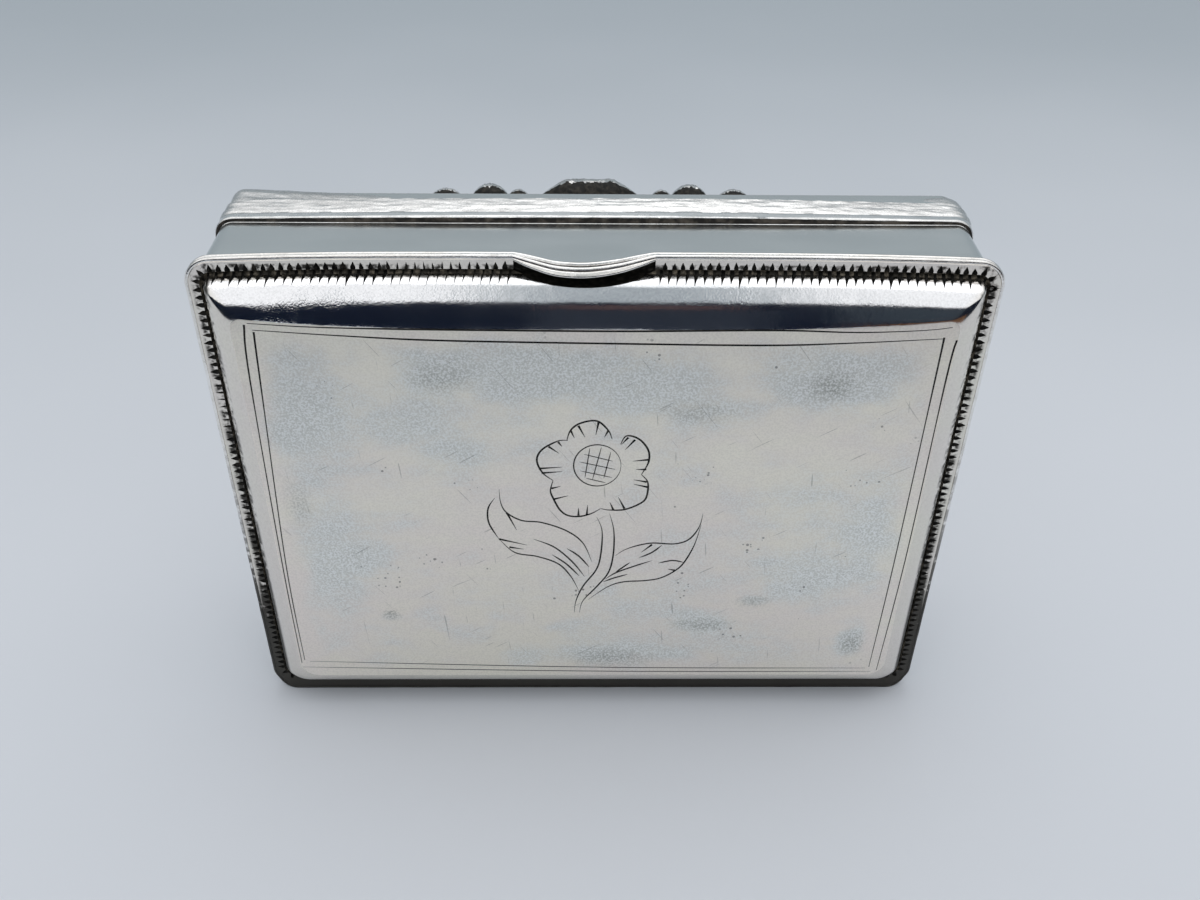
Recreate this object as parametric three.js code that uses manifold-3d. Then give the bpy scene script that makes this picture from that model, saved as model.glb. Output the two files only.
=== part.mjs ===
// A silver snuff box standing on its hinge edge, with its engraved lid towards -Y.
// Millimetres, +Z up. X runs along the hinge and Y through the depth of the box.

import * as THREE from 'three';
import { mergeVertices } from 'three/addons/utils/BufferGeometryUtils.js';
import Module from 'manifold-3d';

const wasm = await Module();
wasm.setup();

// Overall sizes over the lid edge and the base moulding, which share one outline
const boxWidth = 80;
const boxHeight = 60;
const cornerRadius = 2.8;
const leastCornerRadius = 0.4;

// Sheet metal and solder seams
const wallThickness = 0.8;
const rimOverhang = 0.8;
const lidSheet = 0.7;
const baseSheet = 0.7;
const liningSheet = 0.4;
const seatGap = 0.1;

// Lid: a raised cushion inside a grooved border, with a beaded wire round its edge
const lidDepth = 1.0;
const lidCrown = 3.0;
const lidShoulder = 3.4;
const edgeWireWidth = 0.75;
const edgeWireRound = 0.22;
const edgeWireGroove = 0.14;
const borderWidth = 0.7;
const borderGrooveWidth = 0.45;
const borderGrooveDepth = 0.3;

// Bezel inside the lid, which drops into the mouth of the wall
const bezelClearance = 0.3;
const bezelThickness = 0.5;
const bezelDepth = 1.5;
const bezelHingeGap = 6;

// Thumb lip: a tongue bent out of the lid's edge, a little left of the middle
const lipAlong = -1.2;
const lipWidth = 13.7;
const lipLength = 2.9;
const lipSetForward = 0.8;
const lipThickness = 0.6;

// Wall and base moulding, as depths along Y
const mouthGap = 0.15;
const wallShown = 8.35;
const stripWidth = 1.5;
const stripChamfer = 0.2;
const mouldingSeat = 0.8;
const mouldingCover = 0.2;

// Reeds of the moulding from the strip outwards, each falling from its own inset to the next one's
const nearReedWidth = 2.2;
const nearReedInset = 0.25;
const nearReedBulge = 0.22;
const middleReedWidth = 2.7;
const middleReedInset = 0.4;
const middleReedBulge = 0.34;
const farReedWidth = 1.6;
const farReedInset = 0.75;
const farReedBulge = 0.3;
const mouldingEndInset = 1.3;

// Base plate: a lower cushion than the lid's
const baseCrown = 1.8;
const baseShoulder = 3.2;

// Hinge: a barrel of alternate lid and body knuckles under the wall, on one pin
const knuckleCount = 7;
const barrelRadius = 0.8;
const barrelLift = 0.1;
const barrelClearance = 0.25;
const pinRadius = 0.4;
const pinClearance = 0.06;
const knuckleGap = 0.15;
const hingeInset = 7;
const pinHeadRadius = 0.62;
const pinHeadLength = 0.5;
const bearerCover = 0.8;

// Cast bosses on the base's thumb edge: gap to the boss before, half length, radius, rise and squareness
const bossRowAlong = -0.6;
const bossStandoff = 2.2;
const centreBoss = { halfLength: 5.7, radius: 2.0, rise: 1.5, squareness: 3 };
const innerBoss = { gap: 0.9, halfLength: 3.2, radius: 1.65, rise: 1.1, squareness: 2.4 };
const outerBoss = { gap: 0.8, halfLength: 1.9, radius: 1.25, rise: 0.9, squareness: 2 };

// Smoothness of round stretches
const cornerSteps = 5;
const shoulderSteps = 7;
const reedSteps = 5;
const tubeSides = 16;
const bossSteps = 10;
const lipSteps = 14;

// Stations that follow from the sizes above, with the lid's border face at Y = 0
const plateEdge = edgeWireWidth + seatGap;
const cushionFoot = plateEdge + borderWidth;
const lidInner = cushionFoot + lidSheet;
const wallOuter = rimOverhang;
const wallInner = wallOuter + wallThickness;
const wallMouth = lidDepth + mouthGap;
const mouldingNear = wallMouth + wallShown;
const reeds = [
  { width: nearReedWidth, startInset: nearReedInset, endInset: middleReedInset, bulge: nearReedBulge },
  { width: middleReedWidth, startInset: middleReedInset, endInset: farReedInset, bulge: middleReedBulge },
  { width: farReedWidth, startInset: farReedInset, endInset: mouldingEndInset, bulge: farReedBulge },
];
const reedDepth = nearReedWidth + middleReedWidth + farReedWidth;
const mouldingFar = mouldingNear + stripWidth + reedDepth;
const wallEnd = mouldingFar - mouldingSeat - seatGap;
const mouldingInner = wallInner + mouldingCover;
const baseFoot = mouldingInner + seatGap;
const hingeLength = boxWidth - 2 * hingeInset;
const axisY = lidDepth + seatGap + barrelRadius;
const axisZ = barrelRadius + barrelLift;
const notchRadius = barrelRadius + barrelClearance;
const innerBossAlong = centreBoss.halfLength + innerBoss.gap + innerBoss.halfLength;
const outerBossAlong = innerBossAlong + innerBoss.halfLength + outerBoss.gap + outerBoss.halfLength;
const bossTop = mouldingFar + centreBoss.rise + centreBoss.radius;

// Finishes
const paleSilver = new THREE.MeshStandardMaterial({ color: 0xbdbab4, roughness: 0.34, metalness: 1 });
const brightSilver = new THREE.MeshStandardMaterial({ color: 0xd6d6d4, roughness: 0.24, metalness: 1 });
const greySilver = new THREE.MeshStandardMaterial({ color: 0x9aa3a8, roughness: 0.28, metalness: 1 });
const innerSilver = new THREE.MeshStandardMaterial({ color: 0xa89f8f, roughness: 0.45, metalness: 1 });

/** Points of the box's rounded outline, drawn in by an inset, as X and Z pairs. */
function outline(inset) {
  const radius = Math.max(cornerRadius - inset, leastCornerRadius);
  const halfX = boxWidth / 2 - inset - radius;
  const halfZ = boxHeight / 2 - inset - radius;
  const centres = [[1, 1], [-1, 1], [-1, -1], [1, -1]];
  const points = [];
  centres.forEach(([sideX, sideZ], corner) => {
    for (let step = 0; step <= cornerSteps; step += 1) {
      const angle = (corner + step / cornerSteps) * (Math.PI / 2);
      const x = sideX * halfX + radius * Math.cos(angle);
      const z = boxHeight / 2 + sideZ * halfZ + radius * Math.sin(angle);
      points.push([x, z]);
    }
  });
  return points;
}

/** Turns every triangle round if the mesh's signed volume is negative. */
function facingOut(positions, indices) {
  const [a, b, c] = [new THREE.Vector3(), new THREE.Vector3(), new THREE.Vector3()];
  let volume = 0;
  for (let i = 0; i < indices.length; i += 3) {
    a.fromArray(positions, indices[i] * 3);
    b.fromArray(positions, indices[i + 1] * 3);
    c.fromArray(positions, indices[i + 2] * 3);
    volume += a.dot(b.cross(c));
  }
  if (volume < 0) {
    indices.reverse();
  }
  const geometry = new THREE.BufferGeometry();
  geometry.setAttribute('position', new THREE.Float32BufferAttribute(positions, 3));
  geometry.setIndex(indices);
  return geometry;
}

/** Carries a profile of inset and depth points round the outline. A ring closes on itself; a plate is capped. */
function sweep(profile, isRing) {
  const positions = [];
  const indices = [];
  profile.forEach(([inset, depth]) => {
    outline(inset).forEach(([x, z]) => positions.push(x, depth, z));
  });
  const count = 4 * (cornerSteps + 1);
  const spans = isRing ? profile.length : profile.length - 1;
  for (let span = 0; span < spans; span += 1) {
    const near = span * count;
    const far = ((span + 1) % profile.length) * count;
    for (let i = 0; i < count; i += 1) {
      const next = (i + 1) % count;
      indices.push(near + i, near + next, far + next, near + i, far + next, far + i);
    }
  }
  if (!isRing) {
    const last = (profile.length - 1) * count;
    for (let i = 1; i < count - 1; i += 1) {
      indices.push(0, i + 1, i, last, last + i, last + i + 1);
    }
  }
  return facingOut(positions, indices);
}

/** Quarter-ellipse shoulder from a cushion's foot to its flat, as inset and depth points. */
function shoulder(foot, width, footDepth, crown) {
  const points = [];
  for (let step = 0; step <= shoulderSteps; step += 1) {
    const angle = (step / shoulderSteps) * (Math.PI / 2);
    points.push([foot + width * (1 - Math.cos(angle)), footDepth + crown * Math.sin(angle)]);
  }
  return points;
}

/** Outer face of the base moulding from its near edge to its far edge. */
function mouldingFace() {
  const points = [[stripChamfer, mouldingNear], [0, mouldingNear + stripChamfer]];
  let start = mouldingNear + stripWidth;
  points.push([0, start]);
  reeds.forEach((reed) => {
    for (let step = 0; step <= reedSteps; step += 1) {
      const angle = (step / reedSteps) * Math.PI;
      const share = (1 - Math.cos(angle)) / 2;
      const inset = reed.startInset + (reed.endInset - reed.startInset) * share;
      const isShared = step === 0 && start > mouldingNear + stripWidth;
      if (!isShared) {
        points.push([inset - reed.bulge * Math.sin(angle), start + reed.width * share]);
      }
    }
    start += reed.width;
  });
  return points;
}

/** Cylinder along X, with its faces a whole number of sides. */
function rodAlongX(radius, length, centreX, centreY, centreZ) {
  const rod = new THREE.CylinderGeometry(radius, radius, length, tubeSides);
  rod.rotateZ(Math.PI / 2);
  rod.translate(centreX, centreY, centreZ);
  return rod;
}

/** Box between two corners. */
function block(low, high) {
  const size = high.map((value, i) => value - low[i]);
  const centre = high.map((value, i) => (value + low[i]) / 2);
  const box = new THREE.BoxGeometry(...size);
  box.translate(...centre);
  return box;
}

/** Solid of a closed geometry, ready to cut. */
function solid(geometry) {
  const bare = geometry.clone();
  bare.deleteAttribute('normal');
  bare.deleteAttribute('uv');
  const merged = mergeVertices(bare, 1e-5);
  return new wasm.Manifold(new wasm.Mesh({
    numProp: 3,
    vertProperties: new Float32Array(merged.attributes.position.array),
    triVerts: new Uint32Array(merged.index.array),
  }));
}

/** Geometry of a solid. */
function surface(body) {
  const mesh = body.getMesh();
  const geometry = new THREE.BufferGeometry();
  geometry.setAttribute('position', new THREE.Float32BufferAttribute(mesh.vertProperties, 3));
  geometry.setIndex(Array.from(mesh.triVerts));
  return geometry;
}

/** One geometry with others cut out of it. */
function cut(geometry, ...cutters) {
  const left = cutters.reduce((body, cutter) => body.subtract(solid(cutter)), solid(geometry));
  return surface(left);
}

/** Lid plate: border, groove and cushion, hollow from behind. */
function lidPlate() {
  const grooveStart = cushionFoot - (borderWidth + borderGrooveWidth) / 2;
  const outerFace = shoulder(cushionFoot, lidShoulder, 0, -lidCrown).reverse();
  const hollow = shoulder(lidInner, lidShoulder, 0, lidSheet - lidCrown);
  return sweep([
    ...outerFace,
    [grooveStart + borderGrooveWidth, 0],
    [grooveStart + borderGrooveWidth / 2, borderGrooveDepth],
    [grooveStart, 0],
    [plateEdge, 0],
    [plateEdge, lidDepth],
    [lidInner, lidDepth],
    ...hollow,
  ], false);
}

/** Two fine beads round the lid's edge, open where the thumb lip stands. */
function lidEdgeWire() {
  const middle = lidDepth / 2;
  const ring = sweep([
    [edgeWireWidth, 0],
    [edgeWireRound, 0],
    [0, edgeWireRound],
    [0, middle - edgeWireGroove],
    [edgeWireGroove, middle],
    [0, middle + edgeWireGroove],
    [0, lidDepth - edgeWireRound],
    [edgeWireRound, lidDepth],
    [edgeWireWidth, lidDepth],
  ], true);
  const halfGap = lipWidth / 2 + seatGap;
  const gap = block(
    [lipAlong - halfGap, -lidDepth, boxHeight - plateEdge],
    [lipAlong + halfGap, 2 * lidDepth, boxHeight + plateEdge],
  );
  return cut(ring, gap);
}

/** Share of the lip's full bend at a place along its width. */
function lipBend(along) {
  return Math.cos((along / lipWidth) * Math.PI) ** 2;
}

/** Thumb lip: a crescent tongue standing out of the gap in the edge wire. */
function thumbLip() {
  const places = Array.from({ length: lipSteps + 1 }, (_, i) => lipWidth * (i / lipSteps - 0.5));
  const front = places.map((x) => new THREE.Vector2(x, -lipLength * lipBend(x)));
  const back = places.map((x) => new THREE.Vector2(x, lidDepth - lipSetForward * lipBend(x)));
  const shape = new THREE.Shape([...front, ...back.reverse()]);
  const tongue = new THREE.ExtrudeGeometry(shape, { depth: lipThickness, bevelEnabled: false });
  tongue.translate(lipAlong, 0, boxHeight - plateEdge + seatGap);
  return tongue;
}

/** Flat inner skin that closes the back of the lid's cushion. */
function lidLining() {
  const edge = lidInner + seatGap;
  return sweep([[edge, lidDepth - liningSheet], [edge, lidDepth]], false);
}

/** Bezel on the lid's inner face, left open along the hinge. */
function lidBezel() {
  const outer = wallInner + bezelClearance;
  const inner = outer + bezelThickness;
  const near = lidDepth + seatGap;
  const far = near + bezelDepth;
  const ring = sweep([[outer, near], [outer, far], [inner, far], [inner, near]], true);
  const hingeSide = block([-boxWidth, near - bezelDepth, -bezelHingeGap], [boxWidth, far + bezelDepth, bezelHingeGap]);
  return cut(ring, hingeSide);
}

/** Plain band of the wall, notched along its mouth for the hinge barrel. */
function wallBand() {
  const band = sweep([
    [wallOuter, wallMouth],
    [wallOuter, wallEnd],
    [wallInner, wallEnd],
    [wallInner, wallMouth],
  ], true);
  const notchLength = hingeLength + 2 * (pinHeadLength + seatGap + knuckleGap);
  return cut(band, rodAlongX(notchRadius, notchLength, 0, axisY, axisZ));
}

/** Reeded moulding round the far end of the wall, with a seat for the base plate. */
function baseMoulding() {
  const seam = wallOuter - seatGap;
  return sweep([
    [seam, mouldingNear],
    ...mouldingFace(),
    [mouldingInner, mouldingFar],
    [mouldingInner, wallEnd + seatGap],
    [seam, wallEnd + seatGap],
  ], true);
}

/** Base plate: a low cushion, hollow from inside. */
function basePlate() {
  const near = wallEnd + seatGap;
  const outerFace = shoulder(baseFoot, baseShoulder, mouldingFar, baseCrown).reverse();
  const hollow = shoulder(baseFoot + baseSheet, baseShoulder, mouldingFar, baseCrown - baseSheet);
  return sweep([
    ...outerFace,
    [baseFoot, near],
    [baseFoot + baseSheet, near],
    ...hollow,
  ], false);
}

/** Gutter strip inside the wall that backs the hinge barrel. */
function hingeBearer() {
  const low = [-hingeLength / 2, axisY, wallInner + seatGap];
  const high = [hingeLength / 2, axisY + notchRadius + bearerCover, axisZ + notchRadius + bearerCover];
  return cut(block(low, high), rodAlongX(notchRadius, boxWidth, 0, axisY, axisZ));
}

/** One knuckle of the barrel, counted from the left. */
function knuckle(index) {
  const pitch = hingeLength / knuckleCount;
  const centreX = (index + 0.5) * pitch - hingeLength / 2;
  const tube = rodAlongX(barrelRadius, pitch - knuckleGap, centreX, axisY, axisZ);
  const bore = rodAlongX(pinRadius + pinClearance, pitch, centreX, axisY, axisZ);
  return cut(tube, bore);
}

/** Cast boss: a bar turned about X, seated on the moulding and the base plate some way along the row. */
function boss({ halfLength, radius, rise, squareness }, along) {
  const centreX = bossRowAlong + along;
  const profile = Array.from({ length: bossSteps + 1 }, (_, i) => {
    const share = -Math.cos((i / bossSteps) * Math.PI);
    const height = Math.max(1 - Math.abs(share) ** squareness, 0) ** (1 / squareness);
    return new THREE.Vector2(radius * height, halfLength * share);
  });
  profile[0].x = 0;
  profile[bossSteps].x = 0;
  const bar = new THREE.LatheGeometry(profile, tubeSides);
  bar.rotateZ(-Math.PI / 2);
  bar.translate(centreX, mouldingFar + rise, boxHeight - bossStandoff);
  const seat = [...mouldingFace(), ...shoulder(baseFoot, baseShoulder, mouldingFar, baseCrown)];
  const grown = seat.map(([inset, depth]) => [inset - seatGap, depth + seatGap]);
  return cut(bar, sweep(grown, false));
}

/** Adds one named piece to a group. */
function addPiece(group, name, geometry, material) {
  const mesh = new THREE.Mesh(geometry, material);
  mesh.name = name;
  group.add(mesh);
}

// Lid
const lid = new THREE.Group();
addPiece(lid, 'lid_plate', lidPlate(), paleSilver);
addPiece(lid, 'lid_edge_wire', lidEdgeWire(), brightSilver);
addPiece(lid, 'thumb_lip', thumbLip(), brightSilver);
addPiece(lid, 'lid_lining', lidLining(), innerSilver);
addPiece(lid, 'lid_bezel', lidBezel(), innerSilver);

// Body
const body = new THREE.Group();
addPiece(body, 'wall_band', wallBand(), greySilver);
addPiece(body, 'base_moulding', baseMoulding(), brightSilver);
addPiece(body, 'base_plate', basePlate(), paleSilver);
addPiece(body, 'hinge_bearer', hingeBearer(), innerSilver);

// Cast bosses along the base's thumb edge
addPiece(body, 'centre_boss', boss(centreBoss, 0), brightSilver);
[['left', -1], ['right', 1]].forEach(([side, sign]) => {
  addPiece(body, `inner_boss_${side}`, boss(innerBoss, sign * innerBossAlong), brightSilver);
  addPiece(body, `outer_boss_${side}`, boss(outerBoss, sign * outerBossAlong), brightSilver);
});

// Hinge: odd knuckles belong to the lid, even ones to the body
for (let index = 0; index < knuckleCount; index += 1) {
  const isLid = index % 2 === 1;
  const owner = isLid ? 'lid' : 'body';
  const number = Math.floor(index / 2) + 1;
  addPiece(isLid ? lid : body, `${owner}_knuckle_${number}`, knuckle(index), greySilver);
}
addPiece(body, 'hinge_pin', rodAlongX(pinRadius, hingeLength, 0, axisY, axisZ), greySilver);
[['left', -1], ['right', 1]].forEach(([side, sign]) => {
  const headX = sign * (hingeLength / 2 + seatGap + pinHeadLength / 2);
  const head = rodAlongX(pinHeadRadius, pinHeadLength, headX, axisY, axisZ);
  addPiece(body, `pin_head_${side}`, head, greySilver);
});

// The whole box, with its origin under the middle of its depth
const snuffBox = new THREE.Group();
snuffBox.add(lid, body);
snuffBox.position.y = (lidCrown - bossTop) / 2;

export default snuffBox;
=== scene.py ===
"""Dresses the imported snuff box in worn, engraved silver, standing on a pale floor.

Shapes are drawn in millimetres. Meshes, shaders and the room have metres. The row frame is kept:
X along the hinge, Y through the depth with the lid towards -Y, and Z up.
"""
import logging
import math
from dataclasses import dataclass
from enum import Enum
from typing import Callable, ClassVar, NamedTuple, Optional, Sequence, Union

import bmesh
import bpy
from bpy.types import ID, Material, Mesh, Node, NodeSocket, NodeTree, Object
from mathutils import Matrix, Vector, noise


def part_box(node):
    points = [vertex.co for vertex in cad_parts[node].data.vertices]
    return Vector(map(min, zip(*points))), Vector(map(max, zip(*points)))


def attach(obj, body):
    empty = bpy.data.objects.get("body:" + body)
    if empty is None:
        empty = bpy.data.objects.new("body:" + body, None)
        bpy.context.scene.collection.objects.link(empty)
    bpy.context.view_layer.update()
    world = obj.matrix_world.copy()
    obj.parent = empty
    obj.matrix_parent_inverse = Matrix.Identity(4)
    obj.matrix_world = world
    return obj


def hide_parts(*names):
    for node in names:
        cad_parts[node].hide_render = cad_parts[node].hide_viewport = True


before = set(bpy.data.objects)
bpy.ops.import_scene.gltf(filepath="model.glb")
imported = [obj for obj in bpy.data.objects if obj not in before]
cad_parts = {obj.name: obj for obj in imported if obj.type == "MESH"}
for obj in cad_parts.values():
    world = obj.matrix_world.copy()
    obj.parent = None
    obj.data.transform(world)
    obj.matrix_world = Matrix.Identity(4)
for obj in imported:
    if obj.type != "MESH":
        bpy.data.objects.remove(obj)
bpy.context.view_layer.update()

LOG = logging.getLogger("snuff_box")
MM = 0.001

Colour = tuple[float, float, float]
Place = tuple[float, float]
Limits = tuple[float, float]


class Body(Enum):
    """Bodies of the record."""

    BOX = "box"
    LID = "lid"


class Slot(Enum):
    """Material slots of the record that pieces made here have."""

    PALE = "pale_silver"
    BRIGHT = "bright_silver"
    GREY = "grey_silver"


class Hand(Enum):
    """How the graver was led along a stroke: share of its full breadth at the start, middle and end."""

    EVEN = (0.35, 1.0, 0.35)
    FLICK = (1.0, 0.75, 0.12)
    SWELL = (0.15, 1.0, 0.15)
    FADE = (1.0, 0.55, 0.35)


def span(node: str) -> tuple[Vector, Vector]:
    """Gives a CAD node's lowest and highest corners at rest in millimetres."""
    low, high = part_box(node)
    return Vector(low) / MM, Vector(high) / MM


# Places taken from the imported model
EDGE_LOW, EDGE_HIGH = span("lid_edge_wire")
PLATE_LOW, _ = span("lid_plate")
WALL_LOW, WALL_HIGH = span("wall_band")
MOULDING_LOW, MOULDING_HIGH = span("base_moulding")
BASE_LOW, BASE_HIGH = span("base_plate")
LIP_LOW, LIP_HIGH = span("thumb_lip")
BORDER_FACE = EDGE_LOW.y
CROWN_FACE = PLATE_LOW.y
LID_BACK = EDGE_HIGH.y


def report(piece: Object, body: Body, nodes: Sequence[str]) -> None:
    """Puts a finished piece on its body, in place of CAD nodes, and logs it.

    Args:
        piece: The finished mesh object.
        body: Body that it rides on.
        nodes: CAD nodes that it stands for.
    """
    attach(piece, body.value)
    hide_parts(*nodes)
    LOG.info("%s: %d faces on %s", piece.name, len(piece.data.polygons), body.value)


def placed(name: str, data: ID) -> Object:
    """Puts an object into the scene.

    Args:
        name: Name of the object.
        data: Its mesh, lamp or camera.

    Returns:
        The object, at the origin.
    """
    item = bpy.data.objects.new(name, data)
    bpy.context.scene.collection.objects.link(item)
    return item


class Signal:
    """Output of a node, which joins in sums as a number does."""

    def __init__(self, web: "Web", socket: NodeSocket) -> None:
        """Keeps the socket and its web."""
        self.web = web
        self.socket = socket

    def __add__(self, other: "SocketValue") -> "Signal":
        """Adds a value."""
        return self.web.math("ADD", self, other)

    def __sub__(self, other: "SocketValue") -> "Signal":
        """Takes a value away."""
        return self.web.math("SUBTRACT", self, other)

    def __rsub__(self, other: float) -> "Signal":
        """Takes the signal away from a number."""
        return self.web.math("SUBTRACT", other, self)

    def __mul__(self, other: "SocketValue") -> "Signal":
        """Multiplies by a value."""
        return self.web.math("MULTIPLY", self, other)


SocketValue = Union[Signal, float, int, bool, str, tuple, Material]
Signals = dict[str, Signal]


def solid(colour: Colour) -> tuple[float, float, float, float]:
    """Gives a colour its opaque alpha."""
    return (*colour, 1.0)


class Web:
    """Adds and joins the nodes of one tree."""

    def __init__(self, tree: NodeTree) -> None:
        """Keeps the tree to work on."""
        self.tree = tree

    def fill(self, node: Node, inputs: dict[Union[str, int], SocketValue]) -> None:
        """Joins a node's inputs to signals, or sets their own values.

        Args:
            node: The node.
            inputs: Values or signals by the name or number of the input.
        """
        for name, value in inputs.items():
            if isinstance(value, Signal):
                self.tree.links.new(value.socket, node.inputs[name])
            else:
                node.inputs[name].default_value = value

    def node(self, kind: str, inputs: Optional[dict] = None, **settings: object) -> Node:
        """Adds one node.

        Args:
            kind: Blender's name for the node.
            inputs: Values or signals by the name or number of the input.
            settings: Properties to set on it.

        Returns:
            The new node.
        """
        node = self.tree.nodes.new(kind)
        for name, value in settings.items():
            setattr(node, name, value)
        self.fill(node, inputs or {})
        return node

    def outputs(self, node: Node) -> Signals:
        """Gives a node's outputs by name."""
        return {socket.name: Signal(self, socket) for socket in node.outputs}

    def signal(self, kind: str, inputs: dict, output: Union[str, int] = 0, **settings: object) -> Signal:
        """Adds one node as node does, and gives the output with a name or number."""
        return Signal(self, self.node(kind, inputs, **settings).outputs[output])

    def math(self, operation: str, first: SocketValue, second: SocketValue = 0.0) -> Signal:
        """Works out one sum of two values."""
        return self.signal("ShaderNodeMath", {0: first, 1: second}, operation=operation)

    def split(self, vector: Signal) -> tuple[Signal, ...]:
        """Gives a vector's X, Y and Z."""
        return tuple(self.outputs(self.node("ShaderNodeSeparateXYZ", {"Vector": vector})).values())

    def step(self, value: SocketValue, low: SocketValue, high: SocketValue) -> Signal:
        """Rises smoothly from 0 where the value is low to 1 where it is high."""
        inputs = {"Value": value, "From Min": low, "From Max": high}
        return self.signal("ShaderNodeMapRange", inputs, "Result", interpolation_type="SMOOTHSTEP")

    def noise(self, vector: Signal, scale: SocketValue, detail: float = 2.0) -> Signal:
        """Gives soft noise from 0 to 1, with a scale in waves for each unit and a number of octaves."""
        return self.signal("ShaderNodeTexNoise", {"Vector": vector, "Scale": scale, "Detail": detail})

    def blend(self, share: SocketValue, first: Union[Signal, Colour],
              second: Union[Signal, Colour]) -> Signal:
        """Mixes two colours, with a share of the second one."""
        start, end = (solid(colour) if isinstance(colour, tuple) else colour for colour in (first, second))
        return self.signal("ShaderNodeMix", {0: share, 6: start, 7: end}, 2, data_type="RGBA")


def group(name: str, kind: str, inputs: dict[str, str], output_kind: str,
          lay: Callable[[Web, Signals], Signals]) -> NodeTree:
    """Builds a node group.

    Args:
        name: Name of the group.
        kind: Blender's name for its kind of tree.
        inputs: Socket type by input name.
        output_kind: Socket type of its outputs.
        lay: Lays the nodes from the inputs, and gives the outputs by name.

    Returns:
        The group.
    """
    tree = bpy.data.node_groups.new(name, kind)
    for label, socket_kind in inputs.items():
        tree.interface.new_socket(name=label, in_out="INPUT", socket_type=socket_kind)
    web = Web(tree)
    outputs = lay(web, web.outputs(web.node("NodeGroupInput")))
    for label in outputs:
        tree.interface.new_socket(name=label, in_out="OUTPUT", socket_type=output_kind)
    web.node("NodeGroupOutput", outputs)
    return tree


class Effect:
    """Group of shader nodes that several finishes share, built once."""

    made: ClassVar[dict[str, NodeTree]] = {}

    def lay(self, web: Web, source: Signals) -> Signals:
        """Lays the group's nodes from its inputs, and gives its outputs by name."""
        raise NotImplementedError

    def place(self, web: Web, **inputs: SocketValue) -> Signals:
        """Puts the group in a material.

        Args:
            web: Web of the material.
            inputs: Values or signals by input name.

        Returns:
            The group's outputs by name.
        """
        name = type(self).__name__
        if name not in self.made:
            kinds = {label: "NodeSocketFloat" for label in inputs}
            kinds["vector"] = "NodeSocketVector"
            self.made[name] = group(name, "ShaderNodeTree", kinds, "NodeSocketFloat", self.lay)
        return web.outputs(web.node("ShaderNodeGroup", inputs, node_tree=self.made[name]))


@dataclass(frozen=True)
class Mottle(Effect):
    """Cloudy patches of tarnish, broken up by fine specks."""

    stretch: tuple[float, float, float] = (0.55, 2.2, 1.0)
    broad_detail: float = 3.0
    broad_share: float = 0.52
    close_detail: float = 6.0
    close_scale: float = 4.3
    hue_scale: float = 0.7
    hue_share: float = 0.65
    speck_detail: float = 5.0
    speck_weight: float = 0.22
    cover_weight: float = 0.4
    stain_weight: float = 0.22
    patch_limits: Limits = (0.45, 0.75)
    veil_limits: Limits = (0.42, 0.7)
    speck_limits: Limits = (0.32, 0.64)
    cloud_limits: Limits = (0.38, 0.62)

    def lay(self, web: Web, source: Signals) -> Signals:
        """Lays the nodes.

        Args:
            web: Web of the group.
            source: The inputs vector, patch_scale, cover, speck_scale and stain.

        Returns:
            The masks Patch, Veil, Speck and Cloud.
        """
        scale = source["patch_scale"]
        drawn = web.signal("ShaderNodeMapping", {"Vector": source["vector"], "Scale": self.stretch})
        broad = web.noise(drawn, scale, self.broad_detail)
        close = web.noise(drawn, scale * self.close_scale, self.close_detail)
        hue = web.noise(drawn, scale * self.hue_scale)
        speck = web.noise(source["vector"], source["speck_scale"], self.speck_detail)
        cloud = broad * self.broad_share + close * (1 - self.broad_share)
        cloud = cloud + (source["cover"] - 0.5) * self.cover_weight + source["stain"] * self.stain_weight
        rough = cloud + (speck - 0.5) * self.speck_weight
        mixed = close * (1 - self.hue_share) + hue * self.hue_share
        return {"Patch": web.step(cloud, *self.patch_limits), "Veil": web.step(rough, *self.veil_limits),
                "Speck": web.step(speck, *self.speck_limits), "Cloud": web.step(mixed, *self.cloud_limits)}


class Stain(NamedTuple):
    """Soft stain on the lid's flat: its middle and half sizes in millimetres, share and soot."""

    x: float
    z: float
    half_width: float
    half_height: float
    share: float
    soot: float = 0.0


LID_STAINS = (
    Stain(-3.7, 48.6, 9.5, 3.6, 1.0), Stain(4.5, 47.0, 7.5, 3.8, 1.0), Stain(24.0, 48.4, 6.5, 4.2, 1.0),
    Stain(-16.6, 49.5, 4.5, 4.0, 0.9), Stain(-30.0, 43.5, 5.0, 7.0, 0.75), Stain(-19.5, 42.2, 5.5, 2.4, 0.8),
    Stain(-15.5, 39.0, 4.5, 4.0, 0.75), Stain(11.5, 44.0, 5.5, 2.4, 0.85), Stain(-29.5, 24.5, 5.5, 7.0, 0.8),
    Stain(31.4, 27.0, 3.6, 8.0, 0.8), Stain(24.7, 21.0, 6.0, 4.0, 0.7), Stain(12.5, 14.2, 4.0, 1.7, 1.0),
    Stain(2.0, 8.3, 8.0, 2.4, 1.0), Stain(-8.0, 8.3, 4.0, 2.0, 0.8), Stain(31.0, 11.0, 2.4, 2.4, 1.0),
    Stain(23.8, 47.6, 2.6, 1.8, 0.8, 1.0), Stain(-23.6, 15.4, 1.1, 0.9, 0.4, 1.0),
    Stain(12.6, 13.8, 3.4, 1.1, 0.8, 0.9), Stain(18.5, 17.6, 2.0, 0.9, 0.6, 0.8),
    Stain(2.0, 8.1, 5.0, 1.5, 0.8, 0.8), Stain(30.8, 10.6, 1.6, 2.0, 0.8, 1.0),
    Stain(10.5, 44.3, 4.0, 1.3, 0.8, 0.6), Stain(-15.5, 48.4, 3.2, 1.8, 0.8, 0.7),
    Stain(-32.0, 32.0, 1.5, 3.5, 0.5, 0.5),
)


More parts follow.
